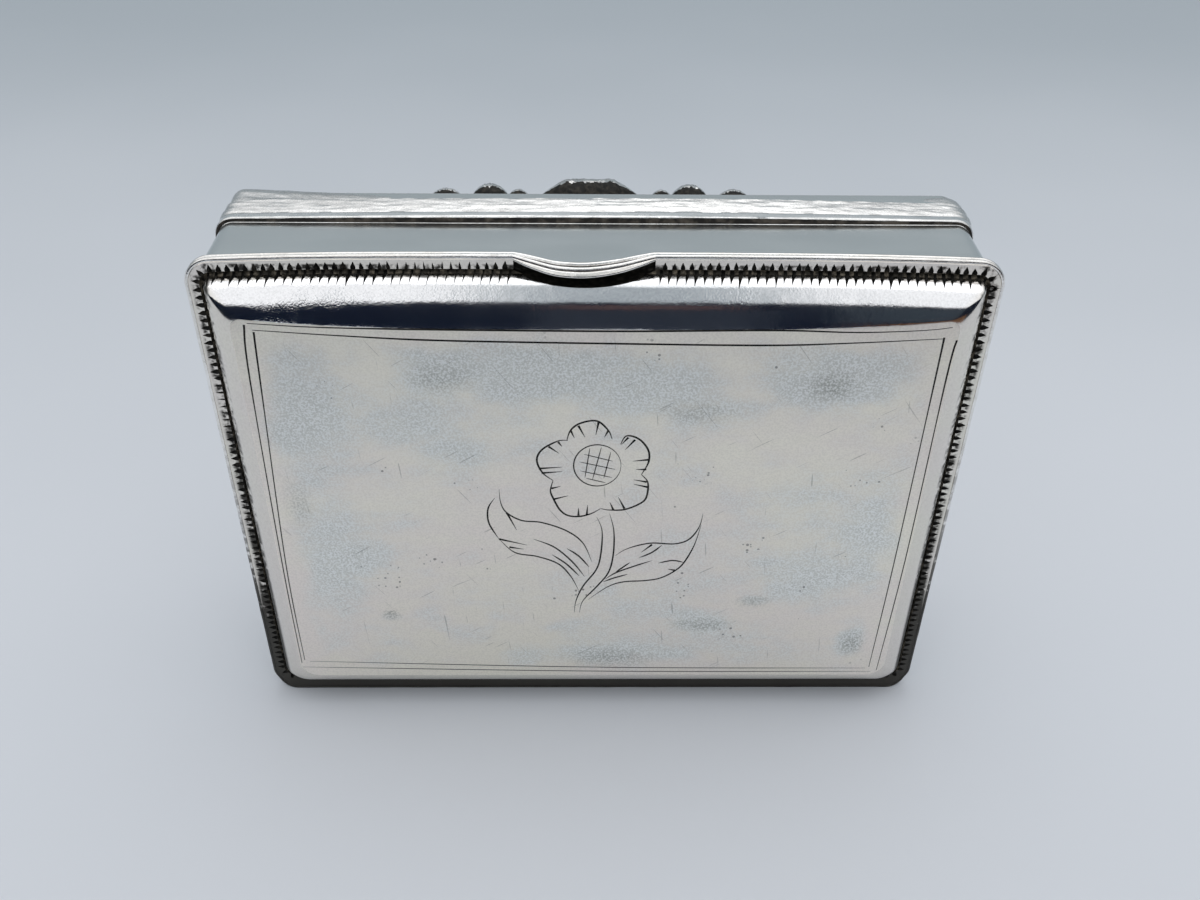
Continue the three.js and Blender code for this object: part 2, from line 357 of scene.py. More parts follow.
@dataclass(frozen=True)
class Stains(Effect):
    """Broad soft stains on the lid's flat, some of them sooty."""

    stain_limits: Limits = (1.5, 0.2)
    soot_limits: Limits = (1.4, 0.1)

    def lay(self, web: Web, source: Signals) -> Signals:
        """Lays the nodes.

        Args:
            web: Web of the group.
            source: The input vector.

        Returns:
            The masks Stain and Soot.
        """
        total: SocketValue = 0.0
        soot: SocketValue = 0.0
        for stain in LID_STAINS:
            inputs = {"Vector": source["vector"], "Location": (stain.x * MM, CROWN_FACE * MM, stain.z * MM),
                      "Scale": (stain.half_width * MM, 1.0, stain.half_height * MM)}
            near = web.signal("ShaderNodeMapping", inputs, vector_type="TEXTURE")
            far = web.signal("ShaderNodeVectorMath", {"Vector": near}, "Value", operation="LENGTH")
            total = web.math("MAXIMUM", total, web.step(far, *self.stain_limits) * stain.share)
            if stain.soot:
                soot = web.math("MAXIMUM", soot, web.step(far, *self.soot_limits) * stain.soot)
        return {"Stain": total, "Soot": soot}


class ScratchWay(NamedTuple):
    """One way that scratches run: their turn in radians, and their length and breadth in metres."""

    turn: float
    length: float
    breadth: float


@dataclass(frozen=True)
class Scratches(Effect):
    """Fine short scratches that run three ways across an upright face."""

    ways: tuple[ScratchWay, ...] = (
        ScratchWay(0.95, 0.005, 0.0002), ScratchWay(-0.55, 0.0035, 0.00018), ScratchWay(1.5, 0.0045, 0.0002),
    )
    limits: Limits = (0.86, 0.88)

    def lay(self, web: Web, source: Signals) -> Signals:
        """Lays the nodes.

        Args:
            web: Web of the group.
            source: The inputs vector and cover.

        Returns:
            The mask Scratch.
        """
        low, high = self.limits
        total: SocketValue = 0.0
        for turn, length, breadth in self.ways:
            inputs = {"Vector": source["vector"], "Rotation": (0.0, turn, 0.0),
                      "Scale": (length, length, breadth)}
            line = web.noise(web.signal("ShaderNodeMapping", inputs, vector_type="TEXTURE"), 1.0, 0.0)
            total = web.math("MAXIMUM", total, web.step(line, low - source["cover"], high))
        return {"Scratch": total}


@dataclass(frozen=True)
class Pits(Effect):
    """Tiny pits that lie in clusters."""

    cluster_scale: float = 0.09
    cluster_detail: float = 1.0
    cluster_limits: Limits = (0.62, 0.74)
    size: float = 0.5
    softness: float = 0.12

    def lay(self, web: Web, source: Signals) -> Signals:
        """Lays the nodes.

        Args:
            web: Web of the group.
            source: The inputs vector, scale and cover.

        Returns:
            The mask Pit.
        """
        vector, scale = source["vector"], source["scale"]
        cells = web.outputs(web.node("ShaderNodeTexVoronoi", {"Vector": vector, "Scale": scale}))
        tint = web.signal("ShaderNodeSeparateColor", {"Color": cells["Color"]})
        crowd = web.noise(vector, scale * self.cluster_scale, self.cluster_detail)
        chosen = web.step(tint, 1.0 - source["cover"], 1.0)
        size = chosen * web.step(crowd, *self.cluster_limits) * self.size
        return {"Pit": web.step(size - cells["Distance"], 0.0, self.softness)}


@dataclass(frozen=True)
class BorderGrime(Effect):
    """Dirt in a band that follows the box's outline, and the inner part past it. Towards the bottom, where
    the box stands, the band darkens further and reaches the outer edge: painted shade along with the dirt.

    Heights and distances are metres.
    """

    side_share: float = 0.75
    bottom_share: float = 0.72
    top_share: float = 1.4
    # Heights over which the band grows darker towards the bottom: painted shade where the box meets the floor
    heavy_heights: Limits = (0.05, 0.006)
    low_heights: Limits = (0.022, 0.004)
    upper_heights: Limits = (0.012, 0.045)
    low_weight: float = 0.2
    grain: float = 1400.0
    patch_limits: Limits = (0.42, 0.66)
    ragged_scale: float = 160.0
    ragged_reach: float = 0.008
    inner_limits: Limits = (0.0055, 0.009)
    detail: float = 4.0

    def lay(self, web: Web, source: Signals) -> Signals:
        """Lays the nodes.

        Args:
            web: Web of the group.
            source: The inputs vector, half_width, height, near, far, fade and top.

        Returns:
            The mask of dirt with painted shade towards the bottom, and the mask Inner.
        """
        x, _, z = web.split(source["vector"])
        across = source["half_width"] - web.math("ABSOLUTE", x)
        above = source["height"] - z
        # Low down the band reaches the outer edge and darkens: painted shade along with the dirt
        low = web.step(z, *self.low_heights)
        near = source["near"] * (1.0 - low)
        band = web.math("MINIMUM", across * self.side_share, z * self.bottom_share)
        band = web.math("MINIMUM", band, above * self.top_share)
        rises = web.step(band, near - source["fade"], near)
        falls = web.step(band, source["far"] + source["fade"], source["far"])
        weight = (web.step(z, *self.heavy_heights) + low) * self.low_weight
        patchy = web.step(web.noise(source["vector"], self.grain, self.detail) + weight, *self.patch_limits)
        kept = 1.0 - web.step(z, *self.upper_heights) * (1.0 - source["top"])
        inset = web.math("MINIMUM", across, web.math("MINIMUM", z, above))
        ragged = (web.noise(source["vector"], self.ragged_scale, self.detail) - 0.5) * self.ragged_reach
        return {"Grime": rises * falls * (patchy * kept),
                "Inner": web.step(inset + ragged, *self.inner_limits)}


# Heights, depths and distances from the corner in metres over which a shoulder begins to be rubbed bright
RUBBED_HEIGHTS = (0.050, 0.054)
RUBBED_DEPTHS = (-0.00905, -0.0093)
RUBBED_CORNERS = (-0.0006, 0.0014)
# Places in metres between which its left end turns matt, and by how much more than the rest
MATT_PLACES = (-0.018, -0.031)
MATT_GAIN = 3.5
# Masks of wear that a shoulder is kept clear of
FLAT_MARKS = ("Veil", "Patch", "Pit", "Scratch")


def shaded(name: str) -> tuple[Material, Web, Node]:
    """Starts a material.

    Args:
        name: Name of the material.

    Returns:
        The material, the web of its nodes and its shader.
    """
    material = bpy.data.materials.new(name)
    material.use_nodes = True
    return material, Web(material.node_tree), material.node_tree.nodes["Principled BSDF"]


def coordinates(web: Web) -> Signal:
    """Gives a material's object coordinates."""
    return web.signal("ShaderNodeTexCoord", {}, "Object")


class GrimeBand(NamedTuple):
    """Band of dirt, with painted shade towards the bottom, by its distance in from the outline in
    millimetres, and the share left at the top.
    """

    near: float
    far: float
    fade: float
    top: float = 1.0


class FlatZone(NamedTuple):
    """Depths in millimetres between which a polished shoulder turns into a worn flat."""

    shoulder: float
    flat: float


@dataclass(frozen=True)
class Silver:
    """Silver with a veil of tarnish, specks, scratches and pits.

    The veil lies on the flat alone where a flat zone is given, and the shoulder keeps its polish.
    """

    name: str
    clean: Colour
    warm: Colour
    veil: Colour
    bright: Colour = (0.96, 0.96, 0.965)
    frost: Colour = (0.97, 0.985, 0.985)
    dirt: Colour = (0.045, 0.043, 0.038)
    soot: Colour = (0.36, 0.37, 0.34)
    dull: Colour = (0.56, 0.56, 0.535)
    dull_share: float = 0.32
    patch_scale: float = 75.0
    cover: float = 0.5
    veil_share: float = 0.75
    speck_scale: float = 5200.0
    speck_dark: float = 0.25
    speck_light: float = 0.0
    light_limits: Limits = (0.55, 0.95)
    speck_height: float = 0.035
    soot_share: float = 0.75
    soot_breaks: float = 0.6
    polish: float = 0.16
    worn: float = 0.3
    veiled: float = 0.5
    cloud_rough: float = 0.05
    grime_rough: float = 0.35
    scratch_cover: float = 0.0
    scratch_share: float = 0.34
    scratch_depth: float = 0.02
    pit_scale: float = 2400.0
    pit_cover: float = 0.0
    pit_share: float = 0.6
    pit_depth: float = 0.1
    grain_scale: float = 1900.0
    grain_height: float = 0.0
    uneven_scale: float = 0.06
    uneven_limits: Limits = (0.3, 0.65)
    ripple_scale: float = 420.0
    ripple_height: float = 0.6
    bump_strength: float = 0.5
    bump_distance: float = 0.00006
    flat: Optional[FlatZone] = None
    stained: bool = False
    grime: Optional[GrimeBand] = None
    grime_share: float = 0.75

    def material(self) -> Material:
        """Builds the material.

        Returns:
            The finished material.
        """
        material, web, shader = shaded(self.name)
        vector = coordinates(web)
        marks = self.marks(web, vector)
        web.fill(shader, {"Metallic": 1.0, "Base Color": self.colour(web, marks),
                          "Roughness": self.roughness(marks), "Normal": self.relief(web, vector, marks)})
        return material

    def marks(self, web: Web, vector: Signal) -> Signals:
        """Gathers the masks of the wear.

        Args:
            web: Web of the material.
            vector: Object coordinates.

        Returns:
            Masks by name: Patch, Veil, Speck and Cloud, and where they are asked for Stain, Soot, Scratch,
            Pit, the mask of dirt with painted shade towards the bottom, Inner, Flat, Rubbed and Dulled.
        """
        stains = Stains().place(web, vector=vector) if self.stained else {}
        marks = Mottle().place(web, vector=vector, patch_scale=self.patch_scale, cover=self.cover,
                               speck_scale=self.speck_scale, stain=stains.get("Stain", 0.0))
        marks.update(stains)
        if self.scratch_cover:
            marks.update(Scratches().place(web, vector=vector, cover=self.scratch_cover))
        if self.pit_cover:
            marks.update(Pits().place(web, vector=vector, scale=self.pit_scale, cover=self.pit_cover))
        if self.grime:
            near, far, fade = (length * MM for length in self.grime[:3])
            marks.update(BorderGrime().place(web, vector=vector, half_width=EDGE_HIGH.x * MM,
                                             height=EDGE_HIGH.z * MM, near=near, far=far, fade=fade,
                                             top=self.grime.top))
        if self.flat:
            self.keep_to_flat(web, vector, marks)
        return marks

    def keep_to_flat(self, web: Web, vector: Signal, marks: Signals) -> None:
        """Clears the shoulder of wear, and marks where it is rubbed bright and where it is dulled.

        Args:
            web: Web of the material.
            vector: Object coordinates.
            marks: Masks of the wear, which are changed.
        """
        x, depth, z = web.split(vector)
        flat = web.step(depth, self.flat.shoulder * MM, self.flat.flat * MM)
        nearer = EDGE_HIGH.x * MM - web.math("ABSOLUTE", x) - (EDGE_HIGH.z * MM - z)
        rubbed = web.step(z, *RUBBED_HEIGHTS) * web.step(depth, *RUBBED_DEPTHS)
        rubbed = rubbed * web.step(nearer, *RUBBED_CORNERS)
        marks["Flat"] = flat
        marks["Rubbed"] = rubbed * (1.0 - flat)
        marks["Dulled"] = 1.0 - web.math("MAXIMUM", flat, marks["Rubbed"])
        inner = flat * marks["Inner"] if self.grime else flat
        for name in FLAT_MARKS:
            if name in marks:
                marks[name] = marks[name] * inner

    def colour(self, web: Web, marks: Signals) -> Signal:
        """Lays tarnish, specks, soot, scratches, pits, and dirt with painted shade towards the bottom, over
        the clean metal.

        Args:
            web: Web of the material.
            marks: Masks of the wear.

        Returns:
            The base colour.
        """
        colour = web.blend(marks["Cloud"], self.clean, self.warm)
        if self.flat:
            colour = web.blend(marks["Rubbed"], colour, self.bright)
            colour = web.blend(marks["Dulled"] * self.dull_share, colour, self.dull)
        colour = web.blend(marks["Veil"] * self.veil_share, colour, self.veil)
        crowded = marks["Patch"] * 0.5 + 0.5
        colour = web.blend((1.0 - marks["Speck"]) * crowded * self.speck_dark, colour, self.dirt)
        light = web.step(marks["Speck"], *self.light_limits) * marks["Patch"]
        colour = web.blend(light * self.speck_light, colour, self.frost)
        if self.stained:
            broken = self.soot_share - marks["Speck"] * self.soot_breaks
            colour = web.blend(marks["Soot"] * broken, colour, self.soot)
        # The dirt mask also carries painted shade towards the bottom
        shares = {"Scratch": self.scratch_share, "Pit": self.pit_share, "Grime": self.grime_share}
        for name, share in shares.items():
            if name in marks:
                colour = web.blend(marks[name] * share, colour, self.dirt)
        return colour

    def roughness(self, marks: Signals) -> Signal:
        """Dulls the veiled and worn places, and the dirty ones with their painted shade.

        Args:
            marks: Masks of the wear.

        Returns:
            The roughness.
        """
        base: SocketValue = self.worn
        if self.flat:
            base = marks["Flat"] * (self.worn - self.polish) + self.polish
        rough = marks["Cloud"] * self.cloud_rough + base + marks["Veil"] * (self.veiled - self.worn)
        return rough + marks["Grime"] * self.grime_rough if self.grime else rough

    def relief(self, web: Web, vector: Signal, marks: Signals) -> Signal:
        """Raises specks and grain, sinks scratches and pits, and lets the sheet ripple.

        Args:
            web: Web of the material.
            vector: Object coordinates.
            marks: Masks of the wear.

        Returns:
            The normal.
        """
        raised = marks["Speck"] * self.speck_height
        if self.flat:
            raised = raised * marks["Flat"]
        height = web.noise(vector, self.ripple_scale) * self.ripple_height + raised
        if self.grain_height:
            grain = web.noise(vector, self.grain_scale, 3.0)
            if self.flat:
                uneven = web.noise(vector, self.grain_scale * self.uneven_scale)
                uneven = web.step(uneven, *self.uneven_limits)
                matt = web.step(web.split(vector)[0], *MATT_PLACES) * MATT_GAIN + 1.0
                grain = grain * (uneven * matt * marks["Rubbed"])
            height = height + grain * self.grain_height
        for name, depth in (("Scratch", self.scratch_depth), ("Pit", self.pit_depth)):
            if name in marks:
                height = height - marks[name] * depth
        inputs = {"Height": height, "Strength": self.bump_strength, "Distance": self.bump_distance}
        return web.signal("ShaderNodeBump", inputs)


@dataclass(frozen=True)
class Oxide:
    """Dark oxide in cuts and recesses, with some metal showing through. It also stands as painted shade under
    the thumb lip, in the lip's slot, on the bosses' lower faces and on the moulding's near face.
    """

    name: str
    dark: Colour = (0.011, 0.011, 0.01)
    brown: Colour = (0.05, 0.045, 0.037)
    grain: float = 1800.0
    brown_limits: Limits = (0.4, 0.75)

    def material(self) -> Material:
        """Builds the material.

        Returns:
            The finished material.
        """
        material, web, shader = shaded(self.name)
        grain = web.noise(coordinates(web), self.grain, 3.0)
        bump = {"Height": grain, "Strength": 0.4, "Distance": 0.00005}
        web.fill(shader, {
            "Metallic": 0.4, "Specular IOR Level": 0.3, "Roughness": grain * 0.3 + 0.4,
            "Base Color": web.blend(web.step(grain, *self.brown_limits), self.dark, self.brown),
            "Normal": web.signal("ShaderNodeBump", bump),
        })
        return material


@dataclass(frozen=True)
class FloorPaper:
    """Pale blue-grey paper whose colour darkens a little away from the lid: painted shade, as the light falls
    off towards the back.
    """

    name: str = "floor_paper"
    near: Colour = (0.66, 0.687, 0.728)
    far: Colour = (0.405, 0.45, 0.487)
    depths: Limits = (0.0, 0.30)
    cloud_scale: float = 9.0
    cloud_reach: float = 0.08

    def material(self) -> Material:
        """Builds the material.

        Returns:
            The finished material.
        """
        material, web, shader = shaded(self.name)
        vector = coordinates(web)
        cloud = (web.noise(vector, self.cloud_scale) - 0.5) * self.cloud_reach
        # Darker away from the lid: painted falloff of the light
        share = web.step(web.split(vector)[1] + cloud, *self.depths)
        colour = web.blend(share, self.near, self.far)
        web.fill(shader, {"Specular IOR Level": 0.15, "Roughness": 0.7, "Base Color": colour})
        return material


# The dirt bands of these finishes darken further towards the bottom: painted shade where the box stands,
# along with the dirt.
LID_SILVER = Silver(
    "lid_silver", clean=(0.92, 0.875, 0.77), warm=(0.915, 0.845, 0.785), veil=(0.825, 0.845, 0.81),
    patch_scale=84.0, cover=0.46, polish=0.1, worn=0.34, veiled=0.42, veil_share=0.85, speck_scale=4600.0,
    speck_dark=0.2, speck_light=0.6, speck_height=0.15, scratch_cover=0.04, pit_cover=0.55,
    grain_scale=4800.0, grain_height=0.34, flat=FlatZone(CROWN_FACE + 0.012, CROWN_FACE + 0.002),
    stained=True, grime=GrimeBand(0.75, 1.95, 0.35), grime_share=0.95,
)
BASE_SILVER = Silver(
    "base_silver", clean=(0.935, 0.88, 0.78), warm=(0.925, 0.865, 0.80), veil=(0.79, 0.82, 0.80),
    patch_scale=90.0, cover=0.55, polish=0.12, worn=0.32, veiled=0.42, speck_scale=5200.0, speck_dark=0.24,
    speck_light=0.35, speck_height=0.14, scratch_cover=0.06, pit_cover=0.5,
    flat=FlatZone(BASE_HIGH.y - 0.02, BASE_HIGH.y - 0.005), grime=GrimeBand(1.5, 2.0, 0.3), grime_share=0.6,
)
# The wire's dirt lies only low down, with none left at the top: it paints the shade along its bottom edge,
# where the box stands, as well as dirt.
EDGE_SILVER = Silver(
    "edge_silver", clean=(0.95, 0.94, 0.92), warm=(0.88, 0.86, 0.82), veil=(0.60, 0.58, 0.55),
    patch_scale=260.0, cover=0.36, worn=0.16, veiled=0.28, speck_height=0.16,
    grime=GrimeBand(0.0, 0.9, 0.1, 0.0), grime_share=0.95,
)
WALL_SILVER = Silver(
    "wall_silver", clean=(0.80, 0.83, 0.82), warm=(0.79, 0.825, 0.82), veil=(0.77, 0.80, 0.80),
    patch_scale=40.0, cover=0.4, worn=0.2, veiled=0.22, veil_share=0.2, speck_dark=0.0, speck_height=0.003,
    ripple_height=0.06,
)
STRIP_SILVER = Silver(
    "strip_silver", clean=(0.92, 0.93, 0.92), warm=(0.88, 0.89, 0.88), veil=(0.80, 0.82, 0.83),
    patch_scale=140.0, cover=0.4, worn=0.2, veiled=0.26, speck_dark=0.12, speck_height=0.08,
)
REED_SILVER = Silver(
    "reed_silver", clean=(0.88, 0.88, 0.865), warm=(0.83, 0.825, 0.805), veil=(0.58, 0.585, 0.58),
    patch_scale=560.0, cover=0.45, worn=0.2, veiled=0.3, speck_scale=6400.0, speck_dark=0.38,
    speck_height=0.22,
)
INNER_SILVER = Silver(
    "inner_silver", clean=(0.86, 0.80, 0.68), warm=(0.82, 0.74, 0.60), veil=(0.52, 0.47, 0.40),
    patch_scale=60.0, cover=0.5, worn=0.4, veiled=0.55, scratch_cover=0.04,
)
# Both oxides also serve as painted shade: under the thumb lip and in its slot, on the bosses' lower faces,
# and on the moulding's near face
CUT_OXIDE_AND_SHADE = Oxide("cut_oxide")
RECESS_OXIDE_AND_SHADE = Oxide("recess_oxide", dark=(0.02, 0.018, 0.016), brown=(0.10, 0.085, 0.07), grain=1100.0)
GROOVE_DIRT = Oxide("groove_dirt", dark=(0.025, 0.022, 0.017), brown=(0.22, 0.19, 0.145), grain=1500.0)
FLOOR_PAPER = FloorPaper()


class Shape:
    """Points and faces of one mesh, in millimetres."""

    def __init__(self) -> None:
        """Starts with nothing."""
        self.points: list[Vector] = []
        self.faces: list[tuple[int, ...]] = []
        self.tints: dict[int, int] = {}

    def row(self, points: Sequence[Sequence[float]]) -> list[int]:
        """Adds points and gives their numbers."""
        first = len(self.points)
        self.points.extend(Vector(point) for point in points)
        return list(range(first, len(self.points)))

    def bridge(self, first: list[int], second: list[int], tint: int = 0) -> None:
        """Joins two rings of equal length with four-sided faces.

        Args:
            first: Numbers of the first ring's points.
            second: Numbers of the second ring's points.
            tint: Number of the faces' material.
        """
        for i in range(len(first)):
            j = (i + 1) % len(first)
            self.tints[len(self.faces)] = tint
            self.faces.append((first[i], first[j], second[j], second[i]))

    def cap(self, row: list[int]) -> None:
        """Closes a ring with one face."""
        self.faces.append(tuple(row))

    def piece(self, name: str, materials: Sequence[Material],
              sharp: float = 40.0) -> Object:
        """Makes the mesh object, with its faces outwards.

        Args:
            name: Name of the object.
            materials: Materials by their numbers.
            sharp: Angle in degrees past which an edge is sharp.

        Returns:
            The object, at the origin.
        """
        mesh = bpy.data.meshes.new(name)
        mesh.from_pydata([point * MM for point in self.points], [], self.faces)
        for material in materials:
            mesh.materials.append(material)
        for index, tint in self.tints.items():
            mesh.polygons[index].material_index = tint
        face_out(mesh)
        finish_edges(mesh, sharp)
        return placed(name, mesh)


def face_out(mesh: Mesh) -> None:
    """Turns a closed mesh's faces outwards."""
    work = bmesh.new()
    work.from_mesh(mesh)
    bmesh.ops.recalc_face_normals(work, faces=work.faces)
    work.to_mesh(mesh)
    work.free()


def finish_edges(mesh: Mesh, sharp: float) -> None:
    """Shades a mesh smooth apart from edges past an angle in degrees."""
    mesh.shade_smooth()
    mesh.set_sharp_from_angle(angle=math.radians(sharp))


def plain_mesh(item: Object) -> None:
    """Applies an object's modifiers to its mesh and removes them."""
    graph = bpy.context.evaluated_depsgraph_get()
    mesh = bpy.data.meshes.new_from_object(item.evaluated_get(graph))
    item.modifiers.clear()
    item.data = mesh
    mesh.name = item.name


def carve(item: Object, cutters: Sequence[Object], sharp: float) -> None:
    """Cuts other objects out of one, and removes them.

    Args:
        item: Object to cut, whose second material is that of the cuts.
        cutters: Closed objects to cut away.
        sharp: Angle in degrees past which an edge is sharp.
    """
    for cutter in cutters:
        mark_dark(cutter, item.data.materials)
        modifier = item.modifiers.new(cutter.name, "BOOLEAN")
        modifier.operation = "DIFFERENCE"
        modifier.solver = "MANIFOLD"
        modifier.material_mode = "INDEX"
        modifier.object = cutter
    plain_mesh(item)
    for cutter in cutters:
        bpy.data.objects.remove(cutter)
    finish_edges(item.data, sharp)


def loft(rings: Sequence[Sequence[Sequence[float]]], tube: bool = False,
         tints: Optional[dict[int, int]] = None) -> Shape:
    """Skins a row of rings.

    Args:
        rings: Points of each ring, all with the same count.
        tube: Whether the last ring joins the first, instead of both being capped.
        tints: Material numbers by the number of the span between rings.

    Returns:
        The closed shape.
    """
    shape = Shape()
    rows = [shape.row(ring) for ring in rings]
    for number, (first, second) in enumerate(zip(rows, rows[1:])):
        shape.bridge(first, second, (tints or {}).get(number, 0))
    if tube:
        shape.bridge(rows[-1], rows[0])
    else:
        shape.cap(rows[0])
        shape.cap(rows[-1])
    return shape


def between(first: Place, second: Place, share: float) -> Place:
    """Gives a place part of the way from one to another."""
    return first[0] + (second[0] - first[0]) * share, first[1] + (second[1] - first[1]) * share


def circled(middle: Place, radius: float, sides: int) -> list[Place]:
    """Gives the corners of a circle with many sides."""
    turns = [2 * math.pi * side / sides for side in range(sides)]
    return [(middle[0] + radius * math.cos(turn), middle[1] + radius * math.sin(turn)) for turn in turns]


class RimPoint(NamedTuple):
    """Point of a profile that is carried round the outline.

    The top edge there may be lifted and bowed, the corners have at least the radius given, and the heel
    lifts the bottom edge.
    """

    inset_x: float
    inset_z: float
    depth: float
    lift: float = 0.0
    bow: float = 0.0
    corner: float = 0.0
    heel: float = 0.0
    heel_corner: float = 0.0


# Sides of the box that each corner lies at, in X and Z, anticlockwise
CORNERS = ((1, 1), (-1, 1), (-1, -1), (1, -1))


@dataclass(frozen=True)
class Outline:
    """Rounded outline of the box, drawn in by an inset. Its top edge may be lifted and bowed."""

    half_width: float
    height: float
    lip_left: float
    lip_right: float
    corner_radius: float = 2.8
    least_radius: float = 0.45
    corner_steps: int = 12
    side_steps: int = 48
    lip_steps: int = 12
    lip_margin: float = 0.2

    def ring(self, point: RimPoint) -> list[Place]:
        """Carries a point of a profile round the outline.

        Args:
            point: The point.

        Returns:
            Places in X and Z, anticlockwise from the end of the right side.
        """
        turns = []
        for number, (side_x, side_z) in enumerate(CORNERS):
            heel_corner = 0.0 if side_z > 0 else point.heel_corner
            least = max(self.least_radius, point.corner, heel_corner)
            radius_x = max(self.corner_radius - point.inset_x, least)
            radius_z = max(self.corner_radius - point.inset_z, least)
            reach_x = self.half_width - point.inset_x - radius_x
            reach_z = self.height / 2 - point.inset_z - radius_z
            turn = []
            for step in range(self.corner_steps + 1):
                angle = (number + step / self.corner_steps) * math.pi / 2
                x = side_x * reach_x + radius_x * math.cos(angle)
                z = self.height / 2 + side_z * reach_z + radius_z * math.sin(angle)
                turn.append((x, z))
            turns.append(turn)
        places: list[Place] = []
        for number, turn in enumerate(turns):
            places.extend(turn)
            places.extend(self.side(turn[-1], turns[(number + 1) % len(turns)][0], number == 0))
        return [(x, z + self.raised(x, z, point)) for x, z in places]

    def side(self, start: Place, end: Place, is_top: bool) -> list[Place]:
        """Gives the points between two corners.

        Args:
            start: End of the first corner.
            end: Start of the next corner.
            is_top: Whether the side carries the lip, whose ends then are points of it.

        Returns:
            The points without the two ends.
        """
        stops = [start, end]
        counts = [self.side_steps]
        if is_top:
            stops = [start, (self.lip_right, start[1]), (self.lip_left, start[1]), end]
            counts = [self.side_steps // 2, self.lip_steps, self.side_steps // 2]
        points = []
        for first, second, count in zip(stops, stops[1:], counts):
            points.extend(between(first, second, step / count) for step in range(count))
        return points[1:]

    def raised(self, x: float, z: float, point: RimPoint) -> float:
        """Gives the rise of the top or the bottom edge at a place."""
        bowed = point.lift + point.bow * max(1.0 - (x / self.half_width) ** 4, 0.0)
        return point.heel if z < self.height / 2 else bowed

    def by_lip(self, x: float, z: float) -> bool:
        """Tells whether a place lies under the thumb lip."""
        inside = self.lip_left - self.lip_margin < x < self.lip_right + self.lip_margin
        return inside and z > self.height / 2

    def past_lip(self, ring: list) -> list:
        """Gives a ring's points round the outline from one end of the lip to the other."""
        first = self.corner_steps + self.side_steps // 2
        return ring[first + self.lip_steps:] + ring[:first + 1]

    def stations(self, spacing: float) -> list[tuple[float, float, float, float]]:
        """Gives evenly spaced places with their outward directions.

        Args:
            spacing: Least number of millimetres between places.

        Returns:
            X, Z and the outward X and Z at each place.
        """
        reach_x = self.half_width - self.corner_radius
        reach_z = self.height / 2 - self.corner_radius
        places = []
        for number, (side_x, side_z) in enumerate(CORNERS):
            turns = max(round(self.corner_radius * math.pi / 2 / spacing), self.corner_steps)
            for step in range(turns):
                angle = (number + step / turns) * math.pi / 2
                out_x, out_z = math.cos(angle), math.sin(angle)
                x = side_x * reach_x + self.corner_radius * out_x
                z = self.height / 2 + side_z * reach_z + self.corner_radius * out_z
                places.append((x, z, out_x, out_z))
            angle = (number + 1) * math.pi / 2
            out_x, out_z = math.cos(angle), math.sin(angle)
            length = 2 * (reach_x if number % 2 == 0 else reach_z)
            steps = max(round(length / spacing), 1)
            x = side_x * reach_x + self.corner_radius * out_x
            z = self.height / 2 + side_z * reach_z + self.corner_radius * out_z
            for step in range(steps):
                travel = length * step / steps
                places.append((x - out_z * travel, z + out_x * travel, out_x, out_z))
        return places


OUTLINE = Outline(EDGE_HIGH.x, EDGE_HIGH.z, LIP_LOW.x, LIP_HIGH.x)


@dataclass(frozen=True)
class Flare:
    """The lid's edge spreads forwards a little where it stands."""

    reach: float = 0.7
    height: float = 1.3

    def forward(self, depth: float, z: float) -> float:
        """Gives how far a point of the lid's edge comes forwards."""
        front = min(max((LID_BACK - depth) / (LID_BACK - BORDER_FACE), 0.0), 1.0)
        return self.reach * front * max(1 - z / self.height, 0.0)


FLARE = Flare()


class Stroke(NamedTuple):
    """One cut of the graver: its points in X and Z, its hand and its breadth."""

    points: tuple[Place, ...]
    hand: Hand
    breadth: float


def eased(points: Sequence[Place], spacing: float) -> list[Place]:
    """Gives a smooth curve through points.

    Args:
        points: Places that the curve goes through.
        spacing: Rough distance between the points given back.

    Returns:
        Places along the curve.
    """
    ends = [points[0], *points, points[-1]]
    curve: list[Place] = []
    for before, start, end, after in zip(ends, ends[1:], ends[2:], ends[3:]):
        count = max(round(math.dist(start, end) / spacing), 2)
        for step in range(count):
            t = step / count
            place = []
            for a, b, c, d in zip(before, start, end, after):
                bend = (2 * a - 5 * b + 4 * c - d) * t * t + (3 * b - a - 3 * c + d) * t ** 3
                place.append(b + 0.5 * ((c - a) * t + bend))
            curve.append((place[0], place[1]))
    curve.append(points[-1])
    return curve


def path_object(name: str, points: Sequence[Vector], edges: Sequence[tuple[int, int]] = (),
                breadths: Sequence[float] = ()) -> Object:
    """Makes a mesh of points and edges for a tree to follow.

    Args:
        name: Name of the object.
        points: Places in metres.
        edges: Pairs of point numbers.
        breadths: Breadth at each point in metres, where the tree asks for it.

    Returns:
        The object, at the origin.
    """
    mesh = bpy.data.meshes.new(name)
    mesh.from_pydata(list(points), list(edges), [])
    if breadths:
        mesh.attributes.new("breadth", "FLOAT", "POINT").data.foreach_set("value", list(breadths))
    return placed(name, mesh)


